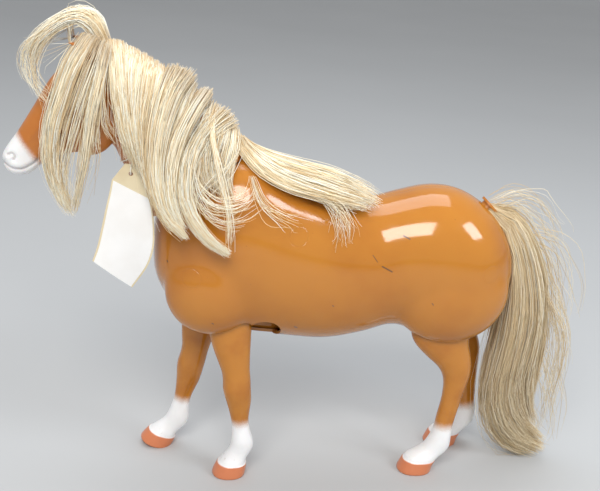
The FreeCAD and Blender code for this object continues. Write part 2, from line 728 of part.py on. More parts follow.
def hanging_lock(name, prefix, count):
    """Lock on the left side, through level ellipses, in the head's own frame."""
    sections = []
    for number in range(1, count + 1):
        cell = f"dim.{prefix}_{number}"
        section = flat_ellipse(f"{name}_{number}", f"{cell}_dx", f"{cell}_up", f"{cell}_long",
                               f"{cell}_thick")
        sections.append(bind(section, place_y=f"-{cell}_out"))
    return loft(name, sections)


def skin_space(name, first, last):
    """The head between two of its stations, grown by the gap that all hair keeps from the skin."""
    return loft(name, [head_section(f"{name}_{n}", n, "(-dim.mane_gap)") for n in range(first, last + 1)],
                ruled=True)


def hair_sheet(name, first, last, thickness, region):
    """Outside of a layer of hair between two head stations, kept where the region box is."""
    outer = loft(name + "_outer", [head_section(f"{name}_outer_{n}", n, f"(-dim.mane_gap - {thickness})")
                                   for n in range(first, last + 1)], ruled=True)
    return combine("Part::MultiCommon", name, [outer, region])


def mane():
    """Hair rooted along the crest: a layer down the left of the neck, with the shoulder and back locks."""
    region = box("mane_region", *MANE_REGION)
    throat_box = box("mane_throat_box", *THROAT_REGION)
    throat = doc.addObject("Part::Compound", "mane_throat")
    throat.Links = [throat_box]
    turned(throat, Vector(0, -1, 0))
    bind(throat, turn="dim.throat_clear_lean", place_x="dim.throat_clear_x", place_z="dim.throat_clear_z")
    layer = cut("mane_trimmed", hair_sheet("mane_layer", 1, 5, "dim.mane_thickness", region), [throat])
    back = []
    for number in range(1, len(BACK_LOCK) + 1):
        cell = f"dim.back_lock_{number}"
        section = doc.addObject("Part::Ellipse", f"back_lock_{number}")
        section.Placement = lying(Vector(0, 1, 0), Vector(0, 0, 1))
        bind(section, MajorRadius=f"{cell}_wide", MinorRadius=f"{cell}_tall", place_x=f"{cell}_dx",
             place_y=f"-{cell}_out", place_z=f"{cell}_up")
        back.append(section)
    locks = [hanging_lock("shoulder_lock", "shoulder_lock", len(SHOULDER_LOCK)), loft("back_lock", back)]
    whole = combine("Part::MultiFuse", "mane_whole", [layer] + locks)
    item = cut("mane_cut", whole, [skin_space("mane_skin", 1, 5)])
    item.Refine = False
    neck_place(item)
    finish(item, "mane_hair")


def forelock():
    """Hair rooted at the poll: a layer over the brow, a hanging face lock and a loose tuft."""
    region = box("forelock_region", *FORELOCK_REGION)
    layer = hair_sheet("forelock_layer", 5, 7, "dim.forelock_thickness", region)
    tuft = [leaning_ellipse(f"tuft_{n}", f"tuft_{n}", f"dim.tuft_{n}_dx", f"dim.tuft_{n}_up")
            for n in range(1, len(TUFT_STATIONS) + 1)]
    whole = combine("Part::MultiFuse", "forelock_whole",
                    [layer, hanging_lock("face_lock", "face", len(FACE_LOCK)), loft("forelock_tuft", tuft)])
    ears = [ear("left_ear_hole", -1, "dim.ear_gap"), ear("right_ear_hole", 1, "dim.ear_gap")]
    item = cut("forelock_cut", whole, ears + [skin_space("forelock_skin", 4, 8)])
    neck_place(item)
    finish(item, "forelock_hair")


def tail():
    """One bundle of hair from the plug down to the ground."""
    sections = [leaning_ellipse(f"tail_{n}", f"tail_{n}", f"dim.rear_axle_x + dim.tail_{n}_dx",
                                f"dim.axle_height + dim.tail_{n}_up")
                for n in range(1, len(TAIL_STATIONS) + 1)]
    finish(loft("tail_lock", sections), "tail_hair")


# ---------------------------------------------------------------- strung tag

def knot_point():
    """Where the string is knotted, on the loop round the neck: in the head's own frame."""
    low = Vector(size("head_3_low_x"), 0, size("head_3_low_z"))
    high = Vector(size("head_3_high_x"), 0, size("head_3_high_z"))
    middle = (low + high) / 2
    grow = size("string_gap") + size("string_radius")
    along = (low - middle).Length + grow
    out = size("head_3_wide") + grow
    angle = math.radians(size("knot_angle"))
    forward = (low - middle).normalize() * along * math.cos(angle)
    return middle + forward + Vector(0, -out * math.sin(angle), 0)


def head_origin():
    tilt = math.radians(size("neck_tilt"))
    return Vector(size("front_axle_x") + size("neck_dx") - size("neck_gap") * math.sin(tilt), 0,
                  size("axle_height") + size("neck_up") + size("neck_gap") * math.cos(tilt))


def tag_string():
    """String round the throat, under the mane, with its knot on the left."""
    low = Vector(size("head_3_low_x"), 0, size("head_3_low_z"))
    high = Vector(size("head_3_high_x"), 0, size("head_3_high_z"))
    middle = (low + high) / 2
    grow = size("string_gap") + size("string_radius")
    tip_point = middle + (low - middle).normalize() * ((low - middle).Length + grow)
    side_point = middle - Vector(0, size("head_3_wide") + grow, 0)
    path = Part.Wire([Part.Ellipse(tip_point, side_point, middle).toShape()])
    start = Part.Circle(tip_point, Vector(0, 1, 0), size("string_radius")).toShape()
    ring = path.makePipeShell([Part.Wire([start])], True, True)
    knot = Part.makeSphere(size("knot_radius"), knot_point() - Vector(0, size("knot_radius"), 0))
    item = doc.addObject("Part::Feature", "string_ring")
    item.Shape = ring.fuse(knot)
    item.Placement = Placement(head_origin(), Rotation())
    finish(item, "tag_string")


def tag_frame():
    """Placement of the tag: top middle of the card, just under the knot."""
    knot = head_origin() + knot_point()
    drop = size("knot_radius") + size("string_gap") + 2 * size("tag_loop_radius") - size("tag_hole_inset")
    top = Vector(knot.x, size("tag_y"), knot.z - drop)
    return Placement(top, Rotation(Vector(0, 0, 1), -size("tag_turn")))


def paper_tag():
    """Card with two clipped corners and a hole, and the loop of string that it hangs by."""
    width, length = size("tag_width"), size("tag_length")
    corner, thick = size("tag_corner"), size("tag_thickness")
    outline = [(-width / 2 + corner, 0), (width / 2 - corner, 0), (width / 2, -corner),
               (width / 2, -length), (-width / 2, -length), (-width / 2, -corner)]
    points = [Vector(x, -thick / 2, z) for x, z in outline]
    card = Part.Face(Part.makePolygon(points + points[:1])).extrude(Vector(0, thick, 0))
    hole_start = Vector(0, -2 * thick, -size("tag_hole_inset"))
    hole = Part.makeCylinder(size("tag_hole_radius"), 4 * thick, hole_start, Vector(0, 1, 0))
    item = doc.addObject("Part::Feature", "tag_card")
    item.Shape = card.cut(hole)
    item.Placement = tag_frame()
    finish(item, "paper_tag")
    loop = doc.addObject("Part::Torus", "tag_loop_ring")
    bind(loop, Radius1="dim.tag_loop_radius", Radius2="dim.string_radius")
    place = tag_frame()
    ring_middle = Vector(0, 0, size("tag_loop_radius") - size("tag_hole_inset"))
    upright = place.Rotation.multiply(Rotation(Vector(0, 1, 0), 90))
    loop.Placement = Placement(place.multVec(ring_middle), upright)
    finish(loop, "tag_loop")


# ---------------------------------------------------------------- build and write

fill_sheet()
body_half(-1, "left_body_half")
body_half(1, "right_body_half")
shell_screws()
for axle_pair in ("front", "rear"):
    axle_set(axle_pair)
leg("front_left_leg", "front", -1, "0")
leg("front_right_leg", "front", 1, "dim.front_swing")
leg("rear_left_leg", "rear", -1, "0")
leg("rear_right_leg", "rear", 1, "dim.rear_swing")
head_and_neck()
neck_plug()
neck_retainer()
tail_plug()
mane()
forelock()
tail()
tag_string()
paper_tag()

doc.recompute()
for item in doc.Objects:
    if "Invalid" in item.State or "Error" in item.State:
        raise RuntimeError(f"{item.Name}: {item.State}")
for item in parts:
    if item.Shape.isNull() or not item.Shape.isValid():
        raise RuntimeError(f"{item.Label}: bad shape")
os.makedirs("parts", exist_ok=True)
for item in parts:
    item.Shape.exportStep(f"parts/{item.Label}.step")
    print(item.Label, [round(solid.Volume) for solid in item.Shape.Solids])
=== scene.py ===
# %% [markdown]
# # A doll-size toy horse
# The real toy is a hollow body of hard glossy plastic in two halves, four moulded legs that swing
# on steel axles, a soft vinyl head on a turning neck, and rooted hair that is combed by hand.
# This file gives that frame its looks: smooth moulded skins, sprayed paint and thousands of fibres.
# Everything is in metres, but horses of this size are easier to think of in millimetres, so the
# tables below are in millimetres and are multiplied by MM where a mesh is made.

# %% Load the frame
import math

import bmesh
import bpy
import numpy as np
from mathutils import Matrix, Vector
from mathutils.bvhtree import BVHTree


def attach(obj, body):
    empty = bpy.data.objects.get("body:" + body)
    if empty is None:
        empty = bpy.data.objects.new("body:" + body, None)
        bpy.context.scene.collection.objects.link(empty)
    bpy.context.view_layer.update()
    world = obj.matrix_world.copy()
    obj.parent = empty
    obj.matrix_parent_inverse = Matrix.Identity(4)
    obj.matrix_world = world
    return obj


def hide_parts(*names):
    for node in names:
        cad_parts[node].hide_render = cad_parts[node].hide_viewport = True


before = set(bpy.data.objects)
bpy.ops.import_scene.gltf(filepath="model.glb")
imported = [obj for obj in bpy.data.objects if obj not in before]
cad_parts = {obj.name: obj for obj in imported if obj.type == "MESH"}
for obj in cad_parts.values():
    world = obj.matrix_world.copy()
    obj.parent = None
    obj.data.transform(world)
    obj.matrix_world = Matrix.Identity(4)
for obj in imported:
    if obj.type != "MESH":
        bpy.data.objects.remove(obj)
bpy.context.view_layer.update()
MM = 0.001

# %% [markdown]
# ## The camera
# The toy stands on a table and is seen from its left side, from a little above its back. A 60 mm
# lens keeps the far legs close in size to the near ones. The three axes of the camera are written
# as rows, because a camera looks along its own -Z.

# %% Camera
CAMERA_PLACE = Vector((-0.08154, -0.56909, 0.36600))
CAMERA_AXES = Matrix(((0.99033, -0.01911, -0.13743),
                      (-0.12160, 0.35752, -0.92596),
                      (0.06683, 0.93371, 0.35174)))
lens = bpy.data.cameras.new("lens")
lens.lens = 60
lens.sensor_width = 36
camera = bpy.data.objects.new("camera", lens)
camera.matrix_world = Matrix.Translation(CAMERA_PLACE) @ CAMERA_AXES.to_4x4()
bpy.context.scene.collection.objects.link(camera)
bpy.context.scene.camera = camera
print("camera height", round(CAMERA_PLACE.z, 3))

# %% [markdown]
# ## Smooth lines and lofts
# A moulded toy has no straight edges, so each shape is a few stations from a table with a smooth
# line run through them. A Catmull-Rom line passes through every station, which keeps the sizes
# that the table states.

# %% Lines through points
def smooth_line(points, count):
    """Evenly spaced points along a Catmull-Rom line through the given ones."""
    given = np.asarray(points, float)
    ends = np.vstack([2 * given[0] - given[1], given, 2 * given[-1] - given[-2]])
    t = np.linspace(0, 1, 20, endpoint=False)[:, None]
    run = []
    for a, b, c, d in zip(ends, ends[1:], ends[2:], ends[3:]):
        run.append(0.5 * (2 * b + (c - a) * t + (2 * a - 5 * b + 4 * c - d) * t ** 2
                          + (3 * b - 3 * c + d - a) * t ** 3))
    run = np.vstack(run + [given[-1:]])
    far = np.concatenate([[0], np.cumsum(np.linalg.norm(np.diff(run, axis=0), axis=1))])
    even = np.linspace(0, far[-1], count)
    return np.column_stack([np.interp(even, far, run[:, k]) for k in range(run.shape[1])])


def ring_mesh(rings):
    """Points and faces of a closed skin through rings, with a fan over each end."""
    count, around = rings.shape[:2]
    points = [tuple(p) for p in rings.reshape(-1, 3)]
    faces = []
    for i in range(count - 1):
        for j in range(around):
            k = (j + 1) % around
            faces.append((i * around + j, i * around + k, (i + 1) * around + k, (i + 1) * around + j))
    for ring, flip in ((0, False), (count - 1, True)):
        points.append(tuple(rings[ring].mean(axis=0)))
        middle = len(points) - 1
        for j in range(around):
            a, b = ring * around + j, ring * around + (j + 1) % around
            faces.append((middle, a, b) if flip else (middle, b, a))
    return points, faces


def round_section(around, power):
    """Unit circle squared off a little: a power of 2 is a circle, 4 is nearly a square."""
    angle = np.linspace(0, 2 * np.pi, around, endpoint=False)
    c, s = np.cos(angle), np.sin(angle)
    return np.sign(c) * np.abs(c) ** (2 / power), np.sign(s) * np.abs(s) ** (2 / power)


def ball(centre, radii, lean=0.0):
    """Points and faces of an ellipsoid, leant about Y by some degrees."""
    made = bmesh.new()
    bmesh.ops.create_icosphere(made, subdivisions=4, radius=1)
    turn = Matrix.Rotation(math.radians(lean), 3, "Y")
    points = []
    for v in made.verts:
        points.append(tuple(turn @ Vector([r * c for r, c in zip(radii, v.co)]) + Vector(centre)))
    faces = [tuple(v.index for v in f.verts) for f in made.faces]
    made.free()
    return points, faces


# %% [markdown]
# ## From shapes to one skin
# A sculptor would press lumps of clay together and stroke the joins away. A voxel remesh does the
# first and a smooth modifier the second: the shapes melt into one even mesh, and the stroke count
# decides how far a crease spreads. Booleans alone would leave a hard crease at each join.

# %% Mesh helpers
def new_object(name, points, faces, scale=MM):
    mesh = bpy.data.meshes.new(name)
    mesh.from_pydata([tuple(scale * c for c in p) for p in points], [], faces)
    mesh.update()
    made = bpy.data.objects.new(name, mesh)
    bpy.context.scene.collection.objects.link(made)
    return made


def bake_modifiers(thing):
    """Turns what the modifiers make into the object's own mesh."""
    graph = bpy.context.evaluated_depsgraph_get()
    graph.update()
    mesh = bpy.data.meshes.new_from_object(thing.evaluated_get(graph))
    thing.modifiers.clear()
    old = thing.data
    thing.data = mesh
    bpy.data.meshes.remove(old)
    return thing


def melt(name, shapes, voxel, strokes):
    """One smooth skin round several closed shapes."""
    points, faces = [], []
    for more_points, more_faces in shapes:
        start = len(points)
        points += more_points
        faces += [tuple(start + i for i in face) for face in more_faces]
    thing = new_object(name, points, faces)
    remesh = thing.modifiers.new("melt", "REMESH")
    remesh.mode = "VOXEL"
    remesh.voxel_size = voxel * MM
    stroke = thing.modifiers.new("stroke", "SMOOTH")
    stroke.factor = 0.5
    stroke.iterations = strokes
    return bake_modifiers(thing)


def subtract(thing, cutter):
    """Cuts one object out of another and throws the cutter away."""
    cut = thing.modifiers.new("cut", "BOOLEAN")
    cut.operation = "DIFFERENCE"
    cut.solver = "EXACT"
    cut.object = cutter
    bake_modifiers(thing)
    bpy.data.objects.remove(cutter)
    return thing


def soft_shading(thing, degrees=40):
    """Smooth shading, with edges sharper than the angle left crisp."""
    for polygon in thing.data.polygons:
        polygon.use_smooth = True
    thing.data.set_sharp_from_angle(angle=math.radians(degrees))


def coordinates(thing):
    """The mesh's points in millimetres as an array."""
    flat = np.empty(len(thing.data.vertices) * 3)
    thing.data.vertices.foreach_get("co", flat)
    return flat.reshape(-1, 3) / MM


def move_points(thing, places):
    thing.data.vertices.foreach_set("co", (places * MM).ravel())
    thing.data.update()


def point_normals(thing):
    flat = np.empty(len(thing.data.vertices) * 3)
    thing.data.vertices.foreach_get("normal", flat)
    return flat.reshape(-1, 3)


def store(thing, name, values):
    """Keeps one number per point for a material to read."""
    layer = thing.data.attributes.new(name, "FLOAT", "POINT")
    layer.data.foreach_set("value", np.asarray(values, np.float32).ravel())


# %% [markdown]
# ## Wiring materials
# A material is a graph, but it reads best as a formula. Wire holds one output socket and lets it
# be added and multiplied like a number; Finish holds a material and makes any other node.

# %% Material helpers
class Wire:
    """One value in a material: arithmetic on it adds Math nodes."""

    def __init__(self, finish, socket):
        self.finish = finish
        self.socket = socket

    def __add__(self, other):
        return self.finish.math("ADD", self, other)

    def __sub__(self, other):
        return self.finish.math("SUBTRACT", self, other)

    def __rsub__(self, other):
        return self.finish.math("SUBTRACT", other, self)

    def __mul__(self, other):
        return self.finish.math("MULTIPLY", self, other)

    def __pow__(self, other):
        return self.finish.math("POWER", self, other)

    __radd__ = __add__
    __rmul__ = __mul__


class Finish:
    """A material being wired, with its constants set on the shader's own sockets."""

    def __init__(self, name, **constants):
        self.material = bpy.data.materials.new(name)
        self.material.use_nodes = True
        self.tree = self.material.node_tree
        self.shader = self.tree.nodes["Principled BSDF"]
        for socket, value in constants.items():
            self.shader.inputs[socket.replace("_", " ")].default_value = value

    def node(self, kind, settings, sockets, output=0):
        made = self.tree.nodes.new(kind)
        for name, value in settings.items():
            if name == "stops":
                ramp = made.color_ramp
                while len(ramp.elements) < len(value):
                    ramp.elements.new(0.5)
                for element, (place, colour) in zip(ramp.elements, value):
                    element.position = place
                    element.color = (*colour, 1)
            else:
                setattr(made, name, value)
        for key, value in sockets.items():
            if isinstance(value, Wire):
                self.tree.links.new(value.socket, made.inputs[key])
            else:
                made.inputs[key].default_value = value
        return Wire(self, made.outputs[output])

    def math(self, operation, *values):
        return self.node("ShaderNodeMath", {"operation": operation}, dict(enumerate(values)))

    def attribute(self, name):
        return self.node("ShaderNodeAttribute", {"attribute_name": name}, {}, output=2)

    def place(self):
        """Object coordinates, in metres."""
        return self.node("ShaderNodeTexCoord", {}, {}, output=3)

    def parts(self, vector):
        """The three numbers of a vector."""
        first = self.node("ShaderNodeSeparateXYZ", {}, {0: vector})
        outputs = first.socket.node.outputs
        return first, Wire(self, outputs[1]), Wire(self, outputs[2])

    def ramp(self, value, stops):
        return self.node("ShaderNodeValToRGB", {"stops": stops}, {0: value})

    def step(self, value, start, end):
        """0 before start, 1 after end, and a soft rise between."""
        return self.node("ShaderNodeMapRange", {"interpolation_type": "SMOOTHSTEP"},
                         {0: value, 1: start, 2: end, 3: 0.0, 4: 1.0})

    def noise(self, vector, scale, detail=2.0, roughness=0.5):
        return self.node("ShaderNodeTexNoise", {}, {"Vector": vector, "Scale": scale, "Detail": detail,
                                                    "Roughness": roughness})

    def stretch(self, vector, scale):
        return self.node("ShaderNodeMapping", {}, {0: vector, 3: scale})

    def mix(self, factor, first, second):
        colours = {6: first, 7: second}
        colours = {k: v if isinstance(v, Wire) else (*v, 1) for k, v in colours.items()}
        return self.node("ShaderNodeMix", {"data_type": "RGBA"}, {0: factor, **colours}, output=2)

    def bump(self, height, strength, depth):
        return self.node("ShaderNodeBump", {},
                         {"Strength": strength, "Distance": depth, "Height": height})

    def feed(self, **wires):
        for socket, wire in wires.items():
            self.tree.links.new(wire.socket, self.shader.inputs[socket.replace("_", " ")])
        return self.material


# %% [markdown]
# ## Glossy plastic
# The body is moulded in tan plastic and polished by handling. A near-mirror coat gives the window
# light its edge, a very shallow orange-peel bump keeps it from looking like glass, and a few dark
# scuffs and specks tell its age. The scuffs are short strokes, so each is the distance to a line
# between two points on the flank.

# %% Plastic of the body
TAN = (0.50, 0.192, 0.021)
TAN_DEEP = (0.42, 0.145, 0.014)
SCUFF = (0.06, 0.035, 0.02)
# (x1, z1, x2, z2, half width) of each scuff on the left flank, in millimetres
SCUFFS = [
    (60.0, 168.0, 63.5, 166.5, 0.5), (42.0, 156.5, 45.0, 152.5, 0.25),
    (48.0, 150.0, 54.0, 147.0, 0.45), (-1.0, 108.0, 0.4, 107.2, 0.55),
    (-51.0, 113.0, -50.2, 112.4, 0.4), (20.0, 125.0, 20.6, 124.6, 0.4),
    (80.0, 128.0, 80.8, 127.0, 0.35), (-78.0, 148.0, -77.6, 147.2, 0.4),
]
# (x, z, radius) of the faint rings that the screw posts leave in the left side
MARK_HALF = 0.35
POST_MARKS = [(-64.0, 141.0, 5.5), (-3.0, 168.0, 5.6), (115.0, 146.0, 5.2)]


def stroke_mask(finish, x, z, stroke):
    """1 on a short line from (x1, z1) to (x2, z2), fading over its own half width."""
    x1, z1, x2, z2, half = (v * MM for v in stroke)
    long = math.hypot(x2 - x1, z2 - z1)
    cx, cz = (x2 - x1) / long, (z2 - z1) / long
    along = (x - x1) * cx + (z - z1) * cz
    off = (x - x1) * -cz + (z - z1) * cx
    held = finish.math("MINIMUM", finish.math("MAXIMUM", along, 0.0), long)
    far = finish.math("POWER", (along - held) ** 2.0 + off ** 2.0, 0.5)
    return 1.0 - finish.step(far, half * 0.5, half * 1.3)


def plastic(name, scuffs=(), marks=()):
    finish = Finish(name, Roughness=0.14, IOR=1.5, Coat_Weight=0.35, Coat_Roughness=0.05,
                    Subsurface_Weight=0.06, Subsurface_Radius=(0.004, 0.002, 0.0008))
    place = finish.place()
    x, y, z = finish.parts(place)
    cloud = finish.noise(place, 18.0, 3.0)
    colour = finish.mix(finish.step(cloud, 0.35, 0.75), TAN, TAN_DEEP)
    specks = finish.step(finish.noise(place, 900.0, 1.0), 0.79, 0.83)
    colour = finish.mix(specks * 0.5, colour, SCUFF)
    dust = finish.noise(place, 160.0, 4.0)
    rough = 0.10 + finish.step(dust, 0.45, 0.8) * 0.09
    peel = finish.noise(place, 260.0, 2.0) * 0.25
    left = 1.0 - finish.step(y, -0.012, -0.008)
    for stroke in scuffs:
        worn = stroke_mask(finish, x, z, stroke) * left
        colour = finish.mix(worn * (0.55 + cloud * 0.5), colour, SCUFF)
        rough = rough + worn * 0.35
    for mark_x, mark_z, radius in marks:
        far = finish.math("POWER", (x - mark_x * MM) ** 2.0 + (z - mark_z * MM) ** 2.0, 0.5)
        inner, outer = (radius - MARK_HALF) * MM, (radius + MARK_HALF) * MM
        line = finish.step(far, inner, radius * MM) - finish.step(far, radius * MM, outer)
        peel = peel - line * left * 1.2
    return finish.feed(Base_Color=colour, Roughness=rough, Normal=finish.bump(peel, 0.35, 0.0003))


body_plastic = plastic("tan_body_plastic", SCUFFS, POST_MARKS)
print("plastic wired", len(body_plastic.node_tree.nodes), "nodes")

# %% [markdown]
# ## The body skin
# A horse's barrel is deep at the chest, tucked at the flank and round at the croup. One loft gives
# that line, and four flattened balls, one over each leg, give the shoulders and the thighs.

# %% Sculpt the barrel
# (x, lowest z, highest z, half width)
BARREL = [
    (-86.3, 142, 158, 4), (-85.0, 133, 169, 13), (-81.5, 124, 178, 20),
    (-75, 114.5, 187, 26.5), (-64, 105.5, 197, 32), (-48, 98, 206, 36), (-30, 95, 209, 38),
    (-7, 93, 197.5, 37.6), (20, 91, 187.5, 35.6), (44, 95.5, 181.8, 33.8),
    (62, 101, 186, 34.2), (80, 96.5, 190.2, 36.5), (97, 93, 189.2, 37.6),
    (112, 95, 182.5, 35.6), (124, 101.5, 172.5, 29), (132, 113.5, 161, 20.5),
    (136.2, 127, 150, 11), (137.3, 136, 141, 3),
]


def barrel_shape():
    rows = smooth_line(BARREL, 150)
    across, up = round_section(96, 2.15)
    rings = np.empty((len(rows), 96, 3))
    for ring, (x, low, high, wide) in zip(rings, rows):
        ring[:, 0] = x
        ring[:, 1] = wide * across
        ring[:, 2] = (low + high) / 2 + (high - low) / 2 * up
    return ring_mesh(rings)


shapes = [barrel_shape()]
for side in (-1, 1):
    shapes.append(ball((-50.5, side * 20.5, 130), (29, 17.5, 30.5), 12))
    shapes.append(ball((96, side * 20.0, 128), (36.5, 18.2, 33.5), -8))
body = melt("body_form", shapes, 1.5, 30)
print("body form", len(body.data.vertices), "points")

# %% [markdown]
# ## Two halves and their openings
# The form is sliced by the slanted neck seat, then down the middle. Each half is given its wall by
# Solidify, and the slots that the legs swing in are cut through it from below. Close to the middle
# seam the surface dips by a sixth of a millimetre, which is how a glued or screwed joint shows.

# %% Slice, thicken and cut
NECK_CENTRE = Vector((-60.7, 0, 188.3))
NECK_AXIS = Vector((-0.60042, 0, 0.79968))
WALL = 2.0
SEAM_DIP, SEAM_REACH = 0.16, 1.3
SLOT_INNER = 6.5
# slot under each leg: (middle x, half length, inner |y|, outer |y|, top z)
SLOTS = [(-47.2, 22.3, SLOT_INNER, 27.8, 119), (98.7, 26.2, SLOT_INNER, 27.6, 117)]
# cutters start this low and reach this far out, well clear of the body
BELOW, OUTSIDE = 60, 60
NOTCH = (-18.5, 101.5, 10.0)


def slice_off(thing, centre, axis, fill):
    """Removes what lies beyond a plane, and closes the cut if asked."""
    work = bmesh.new()
    work.from_mesh(thing.data)
    cut = bmesh.ops.bisect_plane(work, geom=work.verts[:] + work.edges[:] + work.faces[:], dist=1e-7,
                                 plane_co=Vector(centre) * MM, plane_no=axis, clear_outer=True)
    if fill:
        edges = [e for e in cut["geom_cut"] if isinstance(e, bmesh.types.BMEdge)]
        lid = bmesh.ops.contextual_create(work, geom=edges)["faces"]
        bmesh.ops.triangulate(work, faces=lid)
        bmesh.ops.recalc_face_normals(work, faces=work.faces[:])
    work.to_mesh(thing.data)
    work.free()
    thing.data.update()


def slot_cutter(middle, half, inner, outer, top, side):
    """Column with a rounded outline that opens a slot from below."""
    across, along = round_section(48, 5)
    rings = np.empty((2, 48, 3))
    for ring, z in zip(rings, (BELOW, top)):
        ring[:, 0] = middle + half * across
        ring[:, 1] = side * (inner + outer) / 2 + (outer - inner) / 2 * along
        ring[:, 2] = z
    return new_object("slot_cutter", *ring_mesh(rings))


def notch_cutter(side):
    x, z, radius = NOTCH
    across, up = round_section(48, 2)
    rings = np.empty((2, 48, 3))
    for ring, y in zip(rings, (SLOT_INNER, OUTSIDE)):
        ring[:, 0] = x + radius * across
        ring[:, 1] = side * y
        ring[:, 2] = z + radius * up
    return new_object("notch_cutter", *ring_mesh(rings))


def outward(thing):
    work = bmesh.new()
    work.from_mesh(thing.data)
    bmesh.ops.recalc_face_normals(work, faces=work.faces[:])
    work.to_mesh(thing.data)
    work.free()
    return thing


slice_off(body, NECK_CENTRE, NECK_AXIS, True)
body_form_points = (coordinates(body).tolist(), [list(p.vertices) for p in body.data.polygons])
for side, name in ((-1, "left"), (1, "right")):
    half = bpy.data.objects.new(f"{name}_body_skin", body.data.copy())
    bpy.context.scene.collection.objects.link(half)
    slice_off(half, (0, side * 0.03, 0), (0, -side, 0), False)
    spots, normals = coordinates(half), point_normals(half)
    dip = np.clip(1 - np.abs(spots[:, 1]) / SEAM_REACH, 0, 1)[:, None] ** 2 * SEAM_DIP
    move_points(half, spots - normals * dip)
    wall = half.modifiers.new("wall", "SOLIDIFY")
    wall.thickness = WALL * MM
    wall.offset = -1
    bake_modifiers(half)
    for slot in SLOTS:
        subtract(half, outward(slot_cutter(*slot, side)))
    subtract(half, outward(notch_cutter(side)))
    soft_shading(half, 38)
    half.data.materials.append(body_plastic)
    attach(half, "body")
    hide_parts(f"{name}_body_half")
    print(half.name, len(half.data.polygons), "faces")
bpy.data.objects.remove(body)

# %% [markdown]
# The two slots are parted by a web along the middle of the belly, which also closes the arched notch
# from behind. It is moulded with the left half, so it shares its plastic.

# %% Belly web
# (x, z) of its middle, its half length and half height, then (y, size) across it
WEB_MIDDLE, WEB_HALF = (-19.5, 106), (13.5, 11)
WEB_SECTIONS = [(-5.6, 0.94), (-5.0, 1.0), (0, 1.01), (5.0, 1.0), (5.6, 0.94)]
web_x, web_z = round_section(40, 6)
web_rings = np.empty((len(WEB_SECTIONS), 40, 3))
for ring, (y, size) in zip(web_rings, WEB_SECTIONS):
    ring[:, 0] = WEB_MIDDLE[0] + WEB_HALF[0] * web_x * size
    ring[:, 1] = y
    ring[:, 2] = WEB_MIDDLE[1] + WEB_HALF[1] * web_z * size
web = outward(new_object("belly_web", *ring_mesh(web_rings)))
soft_shading(web, 50)
web.data.materials.append(body_plastic)
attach(web, "body")
print(web.name, len(web.data.polygons), "faces")

# %% [markdown]
# ## The legs
# Each leg is one moulding. It is lofted from level sections: the columns below give the front edge,
# the back edge and the half width at each height, which is how a horse's knee, cannon, fetlock and
# hoof are drawn from the side. The loft starts high inside the body, where the leg turns on its
# axle. Both legs of a pair come from the same table, and one of them is swung into its pose.

# %% Leg tables
FRONT_AXLE = Vector((-58, 19, 148))
REAR_AXLE = Vector((99, 17, 148))
# (height, front edge x, back edge x, half width) while the leg stands straight
FRONT_LEG = [
    (147, -66, -52, 3.5), (142, -69, -46, 4.6), (134, -66.5, -40, 5.2),
    (118, -58.6, -30.6, 6.2), (106, -53.6, -26.4, 7.0), (98, -51.4, -26, 7.3),
    (90, -49.2, -26, 7.3), (81, -46, -25.9, 7.2), (74, -43.4, -25.6, 7.1),
    (68, -42.3, -24.9, 7.4), (62, -42.0, -24.4, 7.6), (57, -41.0, -24.0, 7.2),
    (52, -39.4, -23.9, 6.4), (46, -37.6, -24.4, 5.5), (40, -36.1, -24.8, 5.1),
    (34, -35.1, -24.1, 5.1), (29, -35.0, -22.7, 5.7), (24.5, -35.1, -21.3, 6.3),
    (20, -35.7, -21.2, 6.2), (16.5, -37.2, -22.6, 6.1), (13.5, -39.2, -24.3, 6.6),
    (11, -41.0, -25.2, 7.5), (9.3, -42.2, -25.5, 8.1), (8.6, -42.9, -25.3, 8.3),
    (8.2, -43.5, -24.9, 8.7), (5, -45.0, -25.0, 9.2), (2, -46.1, -25.4, 9.6),
    (0.7, -46.4, -25.7, 9.7), (0, -45.8, -26.2, 9.2),
]
REAR_LEG = [
    (147, 91, 107, 3.5), (142, 87, 111, 4.6), (130, 81.4, 112.6, 5.7), (116, 76.8, 112, 7.4),
    (106, 75.0, 112, 8.5), (99, 74.8, 112.1, 8.9), (92, 78.0, 112.6, 8.6),
    (84, 85.6, 114.8, 7.7), (77, 93.4, 116.0, 6.8), (71, 97.6, 116.1, 6.2),
    (64, 99.6, 114.9, 5.7), (56, 99.9, 113.2, 5.3), (48, 99.2, 111.9, 5.1),
    (40, 98.0, 110.5, 5.1), (33, 97.2, 109.3, 5.4), (27, 95.9, 109.0, 6.0),
    (22, 93.7, 109.0, 6.4), (18, 91.0, 108.6, 6.4), (15, 87.4, 106.9, 6.6),
    (12.4, 83.4, 104.0, 7.2), (10.4, 80.6, 101.9, 7.9), (9.0, 79.6, 100.6, 8.2),
    (8.4, 79.0, 100.2, 8.4), (8.0, 78.4, 100.3, 8.8), (5, 77.0, 98.8, 9.3),
    (2, 75.8, 98.0, 9.6), (0.7, 75.5, 97.8, 9.7), (0, 76.2, 97.3, 9.2),
]
SWUNG_FRONT, SWUNG_REAR = 18.0, -12.5
# (x, z) of a rear fetlock, the height where its bend starts, and the height that the bend takes
FETLOCK, FETLOCK_TOP, FETLOCK_BEND = (103.0, 27.0), 31.0, 9.0

# %% [markdown]
# ## Paint on the legs
# The factory sprays white socks through a mask, so their upper edge fades over a few millimetres,
# and dips or brushes the hooves in salmon, which leaves a harder edge. Both follow the height above
# the sole, which is stored on every point of the mesh, so the paint swings with the leg.

# %% Painted plastic
WHITE_PAINT = (0.84, 0.84, 0.85)
HOOF_PAINT = (0.62, 0.20, 0.085)


